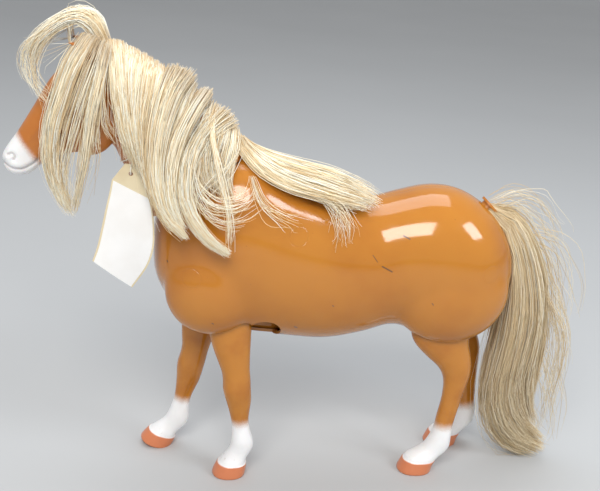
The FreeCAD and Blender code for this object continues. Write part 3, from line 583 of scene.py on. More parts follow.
def leg_plastic():
    finish = Finish("sprayed_leg_plastic", Roughness=0.2, IOR=1.5, Coat_Weight=0.25,
                    Coat_Roughness=0.08, Subsurface_Weight=0.05, Subsurface_Radius=(0.004, 0.002, 0.001))
    place = finish.place()
    height = finish.attribute("height")
    cloud = finish.noise(place, 60.0, 3.0)
    grain = finish.noise(place, 1500.0, 1.0)
    tan = finish.mix(finish.step(cloud, 0.35, 0.75), TAN, TAN_DEEP)
    over_sock = finish.attribute("over_sock")
    sock = 1.0 - finish.step(over_sock + (cloud - 0.5) * 3.0 + (grain - 0.5) * 2.5, -4.0, 4.5)
    colour = finish.mix(sock, tan, WHITE_PAINT)
    low = 1.0 - finish.step(height, 12.0, 30.0)
    grime = finish.step(finish.noise(place, 500.0, 3.0), 0.64, 0.8) * low
    colour = finish.mix(grime * 0.35, colour, (0.30, 0.24, 0.17))
    hoof = 1.0 - finish.step(height + (cloud - 0.5) * 1.2, 8.1, 8.7)
    sole = 1.0 - finish.step(height, 0.5, 3.0)
    worn = finish.step(finish.noise(place, 700.0, 2.0), 0.66, 0.74) * sole
    salmon = finish.mix(worn * 0.7, HOOF_PAINT, (0.30, 0.13, 0.06))
    colour = finish.mix(hoof, colour, salmon)
    rough = 0.13 + sock * 0.17 + hoof * 0.06 + grime * 0.2
    peel = finish.noise(place, 300.0, 2.0) * 0.3 + grain * sock * 0.12
    return finish.feed(Base_Color=colour, Roughness=rough, Normal=finish.bump(peel, 0.35, 0.0003))


leg_paint = leg_plastic()

# %% Build the four legs
def leg_rings(table, axle):
    """Sections of one leg about its own axle, in millimetres."""
    rows = smooth_line(table, 260)
    across, along = round_section(48, 2.25)
    rings = np.empty((len(rows), 48, 3))
    for ring, (z, front, back, wide) in zip(rings, rows):
        middle, half = (front + back) / 2, (back - front) / 2
        # The back third of a cannon is narrower than its front, where the tendons run.
        pinch = 1 - 0.20 * np.clip(across, 0, 1) * np.exp(-((z - 42) / 16) ** 2)
        ring[:, 0] = middle + half * across - axle.x
        ring[:, 1] = wide * along * pinch
        ring[:, 2] = z - axle.z
    return rings


def sculpt_leg(spots, axle, pair):
    """Presses the fine forms in: the knee and the tendon grooves."""
    x, y, z = spots[:, 0] + axle.x, spots[:, 1], spots[:, 2] + axle.z
    side = np.sign(y)
    if pair == "front":
        groove_x, knee = -28.6, (-40.5, 62)
    else:
        groove_x, knee = 105.6 + (z - 40) * 0.07, (111.5, 76)
    groove = np.exp(-((x - groove_x) / 1.3) ** 2) * np.exp(-((z - 42) / 13) ** 4) * 0.55
    bump = np.exp(-((x - knee[0]) / 6) ** 2 - ((z - knee[1]) / 6.5) ** 2) * 0.45
    y = y - side * groove + side * bump * (np.abs(y) > 2)
    return np.column_stack([x - axle.x, y, z - axle.z])


def set_foot(spots, axle, turn):
    """Turns the pastern and hoof of a rear leg about its fetlock, so the hoof stands flat."""
    fetlock = np.array([FETLOCK[0] - axle.x, 0, FETLOCK[1] - axle.z])
    share = np.clip((FETLOCK_TOP - (spots[:, 2] + axle.z)) / FETLOCK_BEND, 0, 1)
    angle = math.radians(turn) * share * share * (3 - 2 * share)
    off = spots - fetlock
    x = off[:, 0] * np.cos(angle) + off[:, 2] * np.sin(angle)
    z = off[:, 2] * np.cos(angle) - off[:, 0] * np.sin(angle)
    return np.column_stack([x, off[:, 1], z]) + fetlock


def build_leg(name, pair, side, swing, sock_top, foot=0.0):
    table, axle = (FRONT_LEG, FRONT_AXLE) if pair == "front" else (REAR_LEG, REAR_AXLE)
    hinge = Vector((axle.x, side * axle.y, axle.z))
    leg = new_object(f"{name}_skin", *ring_mesh(leg_rings(table, axle)))
    outward(leg)
    spots = sculpt_leg(coordinates(leg), axle, pair)
    heights = spots[:, 2] + axle.z
    spots = set_foot(spots, axle, foot)
    turn = np.array(Matrix.Rotation(math.radians(swing), 3, "Y"))
    placed = spots @ turn.T + np.array(hinge)
    # The hoof comes down to the table, and a swung sole is worn flat where it would pass below.
    placed[:, 2] -= max(0.0, placed[:, 2].min())
    placed[:, 2] = np.maximum(placed[:, 2], 0.0)
    move_points(leg, placed)
    store(leg, "height", heights)
    store(leg, "over_sock", heights - sock_top)
    soft_shading(leg, 50)
    leg.data.materials.append(leg_paint)
    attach(leg, name)
    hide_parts(name)
    print(leg.name, len(leg.data.polygons), "faces")


build_leg("front_left_leg", "front", -1, 0.0, 37.5)
build_leg("front_right_leg", "front", 1, SWUNG_FRONT, 36.5)
build_leg("rear_left_leg", "rear", -1, 0.0, 33.0)
build_leg("rear_right_leg", "rear", 1, SWUNG_REAR, 30.0, -SWUNG_REAR)

# %% [markdown]
# ## Head and neck
# The head is soft vinyl, cast in a mould with much finer detail than the body: lips, nostrils, an
# eye and cupped ears. The profile is a row of slanted ovals from the neck's open end to the nose.
# Cheeks, brows, the muzzle and the ears are pressed on as lumps before the skin is melted together.

# %% Shape the head
# (lower x, lower z, upper x, upper z, half width)
HEAD = [
    (-88.9, 167.6, -33.0, 209.5, 22.2), (-96.6, 183.3, -46.0, 222.4, 19.6),
    (-105.4, 201.3, -60.1, 238.9, 16.6), (-110.8, 210.8, -83.0, 255.0, 14.8),
    (-118.6, 208.4, -105.4, 267.4, 14.2), (-129.5, 205.4, -126.3, 264.2, 13.6),
    (-140.4, 203.2, -143.0, 249.6, 11.6), (-150.4, 197.4, -154.6, 231.0, 9.4),
    (-156.4, 192.4, -163.0, 217.2, 8.8), (-161.8, 190.6, -168.4, 209.6, 8.3),
    (-167.0, 193.5, -171.6, 204.5, 5.6), (-170.6, 197.5, -172.4, 202.0, 2.4),
]
# (x, y, z, half width, half thickness) up one ear
EAR = [(-120.5, 9.0, 257, 4.2, 3.4), (-123.4, 9.8, 262, 5.0, 3.2), (-127.6, 10.8, 266.0, 4.3, 2.5),
       (-131.6, 11.6, 268.6, 2.6, 1.6), (-134.6, 12.0, 269.8, 0.7, 0.6)]


def head_shape():
    rows = smooth_line(HEAD, 110)
    across, up = round_section(64, 2.15)
    rings = np.empty((len(rows), 64, 3))
    for ring, (low_x, low_z, high_x, high_z, wide) in zip(rings, rows):
        middle = np.array([(low_x + high_x) / 2, 0, (low_z + high_z) / 2])
        half = np.array([(high_x - low_x) / 2, 0, (high_z - low_z) / 2])
        ring[:] = middle + np.outer(up, half) + np.outer(across, (0, wide, 0))
    return ring_mesh(rings)


def ear_shape(side):
    """Leaf-shaped ear, leaning forward: a tapering oval loft."""
    line = smooth_line(EAR, 24)
    angle = np.linspace(0, 2 * np.pi, 24, endpoint=False)
    run = np.gradient(line[:, :3], axis=0)
    rings = np.empty((len(line), 24, 3))
    for ring, row, way in zip(rings, line, run):
        way = way / np.linalg.norm(way)
        flat = np.cross(way, (0, 1, 0))
        flat /= np.linalg.norm(flat)
        sideways = np.cross(flat, way)
        ring[:] = (row[:3] + np.outer(np.cos(angle) * row[4], flat)
                   + np.outer(np.sin(angle) * row[3], sideways))
        ring[:, 1] *= side
    return ring_mesh(rings)


lumps = [head_shape(), ball((-162.5, 0, 201), (9.6, 9.2, 10.6), 20)]
for side in (-1, 1):
    cheek = ball((-122.5, side * 8.2, 223), (15.5, 7.6, 17.5), 8)
    brow = ball((-139.5, side * 7.6, 241.5), (7.5, 4.8, 5.4), -35)
    nose = ball((-165.6, side * 5.0, 202.6), (4.8, 4.2, 4.6), 20)
    lumps += [cheek, brow, nose, ear_shape(side)]
head = melt("head_skin", lumps, 0.8, 14)
print("head", len(head.data.vertices), "points")

# %% [markdown]
# ## Carve the face
# Small forms are pressed into the melted skin point by point. Each tool is a bell curve round a
# point or along a line: nostrils sink, lips part, eyelids swell round a painted eye, the ears are
# hollowed on their front, and a shallow groove runs down the jaw.

# %% Face tools
EYE = (-139.6, 241.0)
EYE_LEAN = math.radians(38)
EYE_HALF = (4.6, 3.0)
EYE_SIDE, NOSTRIL_SIDE = 5, 3.5
MOUTH = [(-171.2, 198.6), (-166, 196.2), (-160, 196.2), (-154.5, 199.2), (-151.6, 201.6)]
NOSTRIL = [(-168.6, 204.2), (-166.4, 205.2), (-164.6, 203.6), (-165.2, 201.6)]
JAW = [(-131, 207), (-137, 216), (-139, 226), (-136, 234)]
FACE_BONE = [(-143, 231), (-150, 222), (-157, 213)]
EAR_CUP = [(-125.5, 262.5), (-129.5, 265.2), (-133.2, 267.6)]


def line_distance(x, z, line):
    """Distance from points to a smooth line drawn on the side of the head."""
    run = smooth_line(line, 60)
    return np.sqrt(((x[:, None] - run[:, 0]) ** 2 + (z[:, None] - run[:, 1]) ** 2).min(axis=1))


def eye_place(x, z):
    """Along and across the eye, in millimetres, with the front corner negative."""
    dx, dz = x - EYE[0], z - EYE[1]
    c, s = math.cos(EYE_LEAN), math.sin(EYE_LEAN)
    return dx * c + dz * s, dz * c - dx * s


def eye_rim(along, across):
    """1 on the edge of the eye, less inside it."""
    return np.sqrt((along / EYE_HALF[0]) ** 2 + (across / EYE_HALF[1]) ** 2)


def carve_head(spots, normals):
    x, y, z = spots.T
    beside, by_eye = np.abs(y) > NOSTRIL_SIDE, np.abs(y) > EYE_SIDE
    mouth = np.exp(-(line_distance(x, z, MOUTH) / 0.75) ** 2) * (x < -148) * 0.9
    lips = np.exp(-((line_distance(x, z, MOUTH) - 2.6) / 1.6) ** 2) * (x < -152) * 0.35
    nostril = np.exp(-(line_distance(x, z, NOSTRIL) / 1.05) ** 2) * beside * (x < -158) * 1.9
    rim = eye_rim(*eye_place(x, z))
    lid = np.exp(-((rim - 1.16) / 0.16) ** 2) * by_eye * 0.75
    socket = np.exp(-((rim - 1.0) / 0.09) ** 2) * by_eye * 0.5
    eyeball = np.clip(1 - rim ** 2, 0, 1) * by_eye * 0.5
    jaw = np.exp(-(line_distance(x, z, JAW) / 2.2) ** 2) * beside * 0.6
    bone = np.exp(-(line_distance(x, z, FACE_BONE) / 1.8) ** 2) * beside * 0.5
    on_ear = (np.abs(y) > 8) * (normals[:, 0] < 0.1)
    cup = np.exp(-(line_distance(x, z, EAR_CUP) / 2.2) ** 2) * on_ear * 1.1
    out = lips + lid + eyeball + bone - mouth - nostril - socket - jaw - cup
    return spots + normals * out[:, None]


spots = carve_head(coordinates(head), point_normals(head))
# The vinyl stops 0.4 mm above its seat on the body and never passes below it.
seat = np.array(NECK_CENTRE + NECK_AXIS * 0.4)
under = np.minimum((spots - seat) @ np.array(NECK_AXIS), 0)
move_points(head, spots - np.outer(under, np.array(NECK_AXIS)))
spots = coordinates(head)

# %% [markdown]
# ## Paint on the face
# The muzzle is sprayed white, fading towards the face, and the eyes are printed: a dark rim, a brown
# iris with a black pupil, a little white and a spot of light. Each area is worked out here from
# the point's place and kept on the mesh, because the paint has to turn with the head.

# %% Store the paint areas
# A point that a mark must not reach is given a distance that is far too great for it.
FAR_RIM, FAR_EYE, FAR_LINE = 9.0, 99.0, 9
x, y, z = spots.T
along, across = eye_place(x, z)
by_eye = np.abs(y) > EYE_SIDE
store(head, "eye_rim", np.where(by_eye, eye_rim(along, across), FAR_RIM))
store(head, "eye_along", np.where(by_eye, along, FAR_EYE))
store(head, "eye_across", np.where(by_eye, across, FAR_EYE))
store(head, "muzzle", (x + 156.8) * -0.78 + (z - 206.0) * -0.625)
store(head, "lips", line_distance(x, z, MOUTH) + np.where(x < -149, 0, FAR_LINE))
store(head, "nostril", line_distance(x, z, NOSTRIL) + np.where(np.abs(y) > NOSTRIL_SIDE, 0, FAR_LINE))


def head_vinyl():
    finish = Finish("satin_vinyl", Roughness=0.33, IOR=1.48, Coat_Weight=0.1, Coat_Roughness=0.25,
                    Subsurface_Weight=0.12, Subsurface_Radius=(0.006, 0.003, 0.0015))
    place = finish.place()
    cloud = finish.noise(place, 40.0, 3.0)
    grain = finish.noise(place, 1600.0, 1.0)
    vinyl = finish.mix(finish.step(cloud, 0.3, 0.75), (0.53, 0.185, 0.032), (0.46, 0.148, 0.024))
    edge = finish.attribute("muzzle") + (cloud - 0.5) * 3.0 + (grain - 0.5) * 2.5
    muzzle = finish.step(edge, -3.2, 2.4)
    colour = finish.mix(muzzle, vinyl, WHITE_PAINT)
    lips = (1.0 - finish.step(finish.attribute("lips"), 0.1, 0.9)) * 0.45
    nostril = (1.0 - finish.step(finish.attribute("nostril"), 0.2, 1.1)) * 0.5
    colour = finish.mix(lips + nostril, colour, (0.34, 0.29, 0.27))
    rim = finish.attribute("eye_rim")
    along, across = finish.attribute("eye_along"), finish.attribute("eye_across")
    eye = 1.0 - finish.step(rim, 0.97, 1.06)
    outline = 1.0 - finish.step(rim, 1.12, 1.26)
    iris = 1.0 - finish.step((along + 0.3) ** 2.0 + across ** 2.0, 7.2, 8.4)
    pupil = 1.0 - finish.step((along + 0.3) ** 2.0 + (across * 1.25) ** 2.0, 2.2, 3.0)
    light = 1.0 - finish.step((along + 1.5) ** 2.0 + (across - 1.1) ** 2.0, 0.35, 0.55)
    colour = finish.mix(outline, colour, (0.03, 0.015, 0.01))
    colour = finish.mix(eye, colour, (0.75, 0.74, 0.72))
    colour = finish.mix(eye * iris, colour, (0.11, 0.035, 0.012))
    colour = finish.mix(eye * pupil, colour, (0.006, 0.004, 0.004))
    colour = finish.mix(eye * light, colour, (0.9, 0.9, 0.9))
    rough = 0.36 - eye * 0.26 + muzzle * 0.04
    skin = finish.noise(place, 420.0, 3.0) * 0.5 + grain * 0.15
    return finish.feed(Base_Color=colour, Roughness=rough, Normal=finish.bump(skin, 0.3, 0.0003))


soft_shading(head, 60)
head.data.materials.append(head_vinyl())
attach(head, "head")
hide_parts("head_and_neck")
print("head finished", len(head.data.polygons), "faces")
head_form_points = (coordinates(head).tolist(), [list(p.vertices) for p in head.data.polygons])

# %% [markdown]
# ## How the hair is made
# Doll hair is nylon fibre, punched through the vinyl in tufts along the crest, over the brow and in
# a plug above the tail. It is combed over to one side, gathers in locks, and frays where it has
# been handled. Each fibre here follows a line between two guide lines, gathers to the middle of its
# lock as it runs down, wavers a little and ends at its own length. A fibre that would sink into the
# head or the barrel is pushed back out, so the hair lies on the skin as real hair does.

# %% Fibre tools
FIBRE_POINTS = 12
# gap of a fibre that is never pushed off the skin, and the lowest that a fibre may lie
FREE, LOWEST = -1.0, 0.4
BODY_SKIN, HEAD_SKIN = (BVHTree.FromPolygons(*form) for form in (body_form_points, head_form_points))


def guide_lines(guides):
    return np.stack([smooth_line(guide, 60) for guide in guides])


def between(lines, u):
    """Lines at fractional positions in an ordered fan of lines."""
    low = np.clip(np.floor(u).astype(int), 0, len(lines) - 1)
    high = np.minimum(low + 1, len(lines) - 1)
    share = (u - low)[:, None, None]
    return lines[low] * (1 - share) + lines[high] * share


def along_lines(lines, reach):
    """FIBRE_POINTS points on each line, from its root to its own reach."""
    spot = np.linspace(0, 1, FIBRE_POINTS)[None, :] * reach[:, None] * (lines.shape[1] - 1)
    low = np.clip(spot.astype(int), 0, lines.shape[1] - 2)
    share = (spot - low)[:, :, None]
    row = np.arange(len(lines))[:, None]
    return lines[row, low] * (1 - share) + lines[row, low + 1] * share


def keep_out(paths, gap):
    """Moves points that lie inside a skin to just outside it."""
    for fibre, room in zip(paths, gap):
        if room == FREE:
            continue
        for k in range(1, FIBRE_POINTS):
            for skin in (BODY_SKIN, HEAD_SKIN):
                near, normal, _, far = skin.find_nearest(fibre[k], 30)
                if near is None:
                    continue
                if (Vector(fibre[k]) - near).dot(normal) < room:
                    fibre[k] = near + normal * room
    return paths


def fibre_mesh(paths, thick):
    """Three-sided tubes round the paths, thinning towards their ends."""
    count = len(paths)
    run = np.gradient(paths, axis=1)
    run /= np.linalg.norm(run, axis=2, keepdims=True) + 1e-9
    flat = np.cross(run, (0.31, 0.87, 0.38))
    flat /= np.linalg.norm(flat, axis=2, keepdims=True) + 1e-9
    third = np.cross(run, flat)
    taper = np.interp(np.linspace(0, 1, FIBRE_POINTS), (0, 0.1, 0.75, 1), (0.7, 1, 0.85, 0.35))
    size = thick[:, None, None] * taper[None, :, None]
    turns = np.radians((90, 210, 330))
    corners = np.stack([paths + (flat * math.cos(a) + third * math.sin(a)) * size for a in turns],
                       axis=2)
    points = corners.reshape(-1, 3)
    first = np.arange(count)[:, None] * FIBRE_POINTS + np.arange(FIBRE_POINTS - 1)[None, :]
    start = first.reshape(-1) * 3
    faces = np.concatenate([np.stack([start + a, start + b, start + 3 + b, start + 3 + a], axis=1)
                            for a, b in ((0, 1), (1, 2), (2, 0))])
    return points, faces


def fibres(guides, count, seed, spread, locks=12, gather=0.75, wave=1.2, fray=0.25, scattered=False,
           thick=0.21, crowd=None, free=False):
    """Paths of one bundle. spread is its half width in x, y and z at the root, middle and end.

    crowd is where the fibres lie in the fan of guides: shares of them, up to places in the fan.
    A free bundle stands off the skin by itself and is not pushed out of it.
    """
    rng = np.random.default_rng(seed)
    lines = guide_lines(guides)
    last = len(lines) - 1
    if scattered:
        u = rng.integers(0, last + 1, count).astype(float)
        centres = u
    else:
        if crowd is None:
            u = rng.uniform(0, last, count)
        else:
            u = np.interp(rng.uniform(0, 1, count), *crowd)
        middles = np.sort(rng.uniform(0, last, locks))
        strayed = u[:, None] - middles[None, :] + rng.normal(0, 0.12, (count, locks))
        centres = middles[np.abs(strayed).argmin(axis=1)]
    own, lock = between(lines, u), between(lines, centres)
    t = np.linspace(0, 1, lines.shape[1])[None, :, None]
    pull = gather * t * t * (3 - 2 * t)
    path = own * (1 - pull) + lock * pull
    shape = np.stack([np.interp(t[0, :, 0], (0, 0.45, 1), side) for side in zip(*spread)], axis=1)
    path += rng.normal(0, 0.55, (count, 1, 3)).clip(-1, 1) * shape[None]
    rate, phase = rng.uniform(0.8, 2.2, (count, 1, 3)), rng.uniform(0, 1, (count, 1, 3))
    kink = 0.3 + rng.beta(1.2, 5, (count, 1, 1)) * 1.4
    path += wave * t * np.sin(2 * np.pi * (rate * t + phase)) * kink
    reach = 1 - fray * rng.beta(1.3, 4, count)
    gap = rng.uniform(0.35, 2.2, count)
    if free:
        gap = np.full(count, FREE)
    return {"paths": along_lines(path, reach), "tone": rng.uniform(0, 1, count), "gap": gap,
            "thick": thick * rng.uniform(0.75, 1.2, count)}


def hair_piece(name, bundles, material, body, replaces=()):
    paths = np.concatenate([b["paths"] for b in bundles])
    tone = np.concatenate([b["tone"] for b in bundles])
    gap = np.concatenate([b["gap"] for b in bundles])
    thick = np.concatenate([b["thick"] for b in bundles])
    paths = keep_out(paths, gap)
    paths[:, :, 2] = np.maximum(paths[:, :, 2], LOWEST)
    points, faces = fibre_mesh(paths, thick)
    mesh = bpy.data.meshes.new(name)
    mesh.vertices.add(len(points))
    mesh.vertices.foreach_set("co", (points * MM).ravel())
    mesh.loops.add(faces.size)
    mesh.loops.foreach_set("vertex_index", faces.ravel())
    mesh.polygons.add(len(faces))
    mesh.polygons.foreach_set("loop_start", np.arange(0, faces.size, 4))
    mesh.polygons.foreach_set("use_smooth", np.ones(len(faces), bool))
    mesh.update(calc_edges=True)
    piece = bpy.data.objects.new(name, mesh)
    bpy.context.scene.collection.objects.link(piece)
    store(piece, "tone", np.repeat(tone, FIBRE_POINTS * 3))
    store(piece, "along", np.tile(np.repeat(np.linspace(0, 1, FIBRE_POINTS), 3), len(paths)))
    mesh.materials.append(material)
    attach(piece, body)
    if replaces:
        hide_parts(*replaces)
    print(name, len(paths), "fibres", len(faces) * 2, "triangles")


# %% [markdown]
# ## Colour of the hair
# The nylon is pale blond. No two fibres are quite alike: most are cream, some are straw and a few
# are honey. All are painted a little darker at the root, as painted shade where the fibres are packed.

# %% Hair material
def hair_finish(name, root_shade, shades):
    finish = Finish(name, Roughness=0.42, IOR=1.5, Sheen_Weight=0.3, Sheen_Roughness=0.4)
    tone = finish.attribute("tone")
    along = finish.attribute("along")
    colour = finish.ramp(tone, shades)
    # painted shade: each fibre is coloured darker brown near its root, where the fibres are packed
    root = 1.0 - finish.step(along, 0.0, 0.22)
    colour = finish.mix(root * root_shade, colour, (0.50, 0.29, 0.10))
    return finish.feed(Base_Color=colour, Roughness=0.34 + tone * 0.12)


MANE_SHADES = [(0.0, (0.62, 0.40, 0.17)), (0.12, (0.80, 0.60, 0.33)), (0.38, (0.95, 0.82, 0.57)),
               (0.75, (1.0, 0.95, 0.78)), (1.0, (1.0, 1.0, 0.92))]
TAIL_SHADES = [(0.0, (0.48, 0.31, 0.13)), (0.18, (0.64, 0.46, 0.23)), (0.5, (0.80, 0.64, 0.38)),
               (0.85, (0.92, 0.80, 0.57)), (1.0, (0.97, 0.90, 0.74))]
mane_finish = hair_finish("blond_nylon_mane", 0.35, MANE_SHADES)
tail_finish = hair_finish("blond_nylon_tail", 0.3, TAIL_SHADES)

# %% [markdown]
# ## The mane
# The mane is rooted along the crest and combed to the left. Seven guide lines run over the crest
# and down the neck; three heavier locks hang on the shoulder, with shorter tufts at the withers
# and a few kinked fibres that stand off the shoulder. Another lock lies along the back.

# %% Mane guides (x, y, z in millimetres)
NECK = [
    [(-112.3, -3, 270.4), (-110.1, -14, 260.4), (-108.2, -20, 245.2), (-105.9, -21, 229.8),
     (-103.7, -21, 217.4), (-103.2, -20, 209)],
    [(-106.5, 0, 269.1), (-105.8, -14, 258.4), (-104.4, -20, 242), (-101.5, -22, 225.7),
     (-97.6, -23, 212.4), (-93.6, -23, 200.9)],
    [(-99.3, 0, 265.5), (-100.4, -14, 253.1), (-100.1, -20, 238.8), (-97.7, -23, 222.7),
     (-93.6, -24, 208.2), (-89, -25, 194.6)],
    [(-90.4, 0, 260.9), (-92.1, -14, 249), (-94, -21, 232.5), (-93.1, -25, 215.4), (-90.1, -28, 199),
     (-85.4, -31, 183.6)],
    [(-82.5, 0, 256.2), (-85.5, -14, 244.8), (-89, -22, 228.4), (-89.2, -27, 209.2), (-86.1, -32, 191),
     (-79.1, -37, 175.2)],
    [(-72.8, 0, 251.5), (-78.2, -14, 240.6), (-83.4, -23, 224.3), (-84.7, -29, 205.3),
     (-81.6, -35, 187.5), (-73.5, -41, 173.2)],
    [(-64.2, 0, 247.2), (-70.4, -14, 237.5), (-76.2, -24, 221.4), (-78.6, -31, 203.8),
     (-76.6, -38, 186.2), (-69.1, -43, 172.3)],
]
FRONT_LOCK = [
    [(-77.4, -2, 256.2), (-82.7, -16, 245.3), (-86.7, -27, 226.4), (-87.9, -33, 205.2),
     (-84.3, -38, 186.6), (-76.9, -42, 175.9), (-69.1, -45, 170.6)],
    [(-67.2, -2, 253.2), (-76.1, -17, 243.6), (-82.3, -28, 226.8), (-84.1, -34, 205.7),
     (-81, -39, 187.6), (-74.2, -43, 176.3), (-66.9, -45, 170.1)],
]
MIDDLE_LOCK = [
    [(-58.4, -2, 243.3), (-65.9, -16, 234.7), (-73.4, -26, 220.9), (-76.9, -32, 204.1),
     (-75.5, -38, 187.4), (-69.7, -43, 174)],
]
REAR_LOCK = [
    [(-42.4, -4, 226.8), (-54.3, -16, 222.4), (-64.3, -26, 212), (-69.1, -33, 198.9),
     (-68.3, -38, 185.3), (-61.4, -42, 173.3), (-52.3, -45, 165), (-43.8, -46, 161.4)],
    [(-49.5, -3, 233.4), (-58.9, -17, 226), (-65.6, -27, 215.7), (-68.6, -34, 201.5),
     (-67.2, -39, 186.8), (-59.7, -43, 174.3), (-51.2, -45, 165.6), (-43.2, -46, 160.8)],
]
WITHERS = [
    [(-54.2, 0, 238.3), (-59.5, -14, 229.8), (-63.3, -22, 217.9), (-63.1, -28, 204.5),
     (-59.5, -32, 194.1)],
    [(-45.8, 0, 229.3), (-48.4, -13, 220.7), (-51.8, -21, 211), (-52.8, -27, 201), (-48.1, -31, 190.6)],
    [(-39.6, 0, 221.1), (-40, -11, 214.5), (-42.4, -20, 205.1), (-43.6, -27, 195.3), (-40, -31, 186)],
]
LOOSE = [
    [(-52, -6, 235.1), (-54.5, -20, 225.8), (-51.7, -31, 211.5), (-46.9, -37, 194.9),
     (-43.6, -41, 178.7), (-43.7, -44, 163)],
]
CURLS = [
    [(-63.1, -32, 202.2), (-59.1, -36, 194.3), (-48.3, -38, 187), (-36, -36, 190.2),
     (-30.5, -32, 198.5)],
    [(-65.4, -32, 206.8), (-60.6, -37, 189.9), (-47.2, -40, 184.2), (-32.7, -38, 188.6),
     (-28.2, -33, 197.7)],
    [(-61.1, -30, 211), (-62.9, -35, 195), (-53.7, -40, 180.4), (-38, -41, 178.8), (-25.8, -38, 186.4)],
    [(-38.5, -22, 215.2), (-46.4, -30, 205.6), (-57.5, -34, 198.3), (-62.8, -38, 189),
     (-60.3, -41, 175.9)],
]
BACK = [
    [(-39.9, -6, 219.1), (-35.9, -12, 211.3), (-25.2, -22, 200.3), (-9.1, -27, 192.7),
     (12, -28, 188.2), (30.3, -26, 184.3)],
    [(-37.8, -2, 216.9), (-30.3, -8, 210.4), (-13, -15, 202.1), (8.1, -19, 195.5), (27.4, -20, 189),
     (41.2, -19, 183.5)],
    [(-36.2, 3, 214.5), (-26.1, 0, 209.5), (-7.1, -3, 204.9), (14.3, -6, 200.3), (32.8, -8, 192.8),
     (44, -10, 185.6)],
]
BACK_WISPS = [
    [(-2.7, -20, 196.7), (12.2, -26, 189.4), (22.7, -31, 180.4), (26.3, -34, 166.7)],
    [(3.3, -20, 194.5), (15.9, -27, 186.1), (22, -32, 173.3), (21.4, -34, 161.7)],
    [(-31.4, -28, 201.9), (-25.6, -34, 189.8), (-14.2, -38, 181.9), (-0.3, -38, 179.8)],
]

# %% Lay the mane
ROOTED = ((2.5, 1.5, 1.2), (3, 3, 3), (2.2, 2.2, 2.6))
LOCK = ((4.5, 2.2, 3), (4.2, 3.2, 3.6), (1.5, 1.3, 1.8))
SINGLE = ((1.5, 1, 1), (5, 4, 5), (9, 5, 9))
hair_piece("mane_fibres", [
    fibres(NECK, 2000, 11, ROOTED, locks=22, gather=0.55, fray=0.3),
    fibres(FRONT_LOCK, 640, 12, LOCK, locks=4, gather=0.5, fray=0.12),
    fibres(MIDDLE_LOCK, 350, 13, LOCK, fray=0.3)], mane_finish, "head", ["mane_hair"])
hair_piece("shoulder_fibres", [
    fibres(REAR_LOCK, 560, 14, LOCK, locks=4, gather=0.6, fray=0.14),
    fibres(WITHERS, 430, 15, ROOTED, locks=9, gather=0.6, fray=0.5),
    fibres(LOOSE, 26, 16, ((1, 1, 1), (2, 1, 1), (3, 1, 2)), wave=2),
    fibres(CURLS, 50, 17, ((2, 1, 2), (4, 2, 4), (5, 2, 5)), scattered=True, wave=2.5, fray=0.5,
           thick=0.17),
    fibres(NECK + WITHERS, 120, 18, SINGLE, scattered=True, wave=5, fray=0.6, thick=0.15)],
    mane_finish, "head")
hair_piece("back_fibres", [
    fibres(BACK, 1100, 19, ((3, 3, 1.6), (3.4, 4.2, 2.4), (7, 5, 3)), locks=7, gather=0.55, fray=0.35),
    fibres(BACK_WISPS, 60, 20, ((2, 2, 1), (4, 3, 4), (8, 3, 7)), scattered=True, wave=3, fray=0.5,
           thick=0.16)], mane_finish, "head")

# %% [markdown]
# ## The forelock
# The forelock is rooted over the brow. Part of it arches up and forwards in a tuft, and the rest
# falls over the face on the left and hides the eye.

# %% Forelock guides
TUFT = [
    [(-115.1, -2, 270.1), (-121.5, -3, 282), (-130, -4, 284.9), (-142.7, -6, 278.2),
     (-153.3, -8, 269.3), (-157.5, -9, 263.9)],
    [(-117.1, -6, 269.6), (-124.4, -8, 279.4), (-132.7, -10, 281.9), (-143.1, -12, 275.8),
     (-150.6, -13, 266), (-152.3, -14, 256.4)],
    [(-114.3, 3, 270.5), (-118.7, 4, 282.2), (-128.5, 4, 285), (-140.4, 3, 279.1), (-150.1, 2, 272.2),
     (-155.5, 1, 265.5)],
]
TUFT_WISPS = [
    [(-138.2, -8, 279.8), (-149.8, -10, 272), (-155.1, -12, 260.2), (-153.1, -14, 248.7),
     (-145.6, -16, 239.4)],
    [(-135.2, -6, 278.5), (-146.8, -9, 269.8), (-152.1, -11, 258), (-151, -14, 246.5),
     (-143.4, -17, 236.4)],
    [(-143.3, -10, 276.6), (-156, -12, 266.7), (-157.4, -12, 255.8), (-152.3, -13, 243)],
]
FACE = [
    [(-125.4, -9, 274.1), (-134.8, -14, 260.4), (-140, -17, 245.4), (-145, -19, 226.8),
     (-146.6, -19, 205), (-141, -18, 187.3), (-133, -17, 174.7)],
    [(-118.9, -11, 272.5), (-127.1, -17, 258), (-133.4, -20, 241.9), (-139, -21, 223),
     (-140.5, -20, 203.2), (-137.6, -19, 187.8), (-131.9, -17, 174.1)],
    [(-115.1, -12, 270.7), (-120.6, -19, 255.4), (-126.9, -22, 238.2), (-132.5, -22, 218.9),
     (-136.2, -20, 201), (-135.4, -19, 186.6), (-131.3, -17, 174.1)],
    [(-112.9, -13, 268.8), (-115.7, -20, 251.5), (-119.4, -22, 229.6), (-121.8, -21, 206.4),
     (-126.5, -19, 186.9), (-130.8, -17, 173.5)],
]
CHEEK = [
    [(-113.9, -13, 266.6), (-116.7, -21, 248.3), (-120.5, -22, 230.7), (-125.1, -21, 212.1),
     (-127.4, -20, 200.1)],
    [(-112.9, -13, 264.5), (-114.1, -21, 245.2), (-113, -21, 229.6), (-108.7, -20, 221.5),
     (-104.3, -19, 216.8)],
]

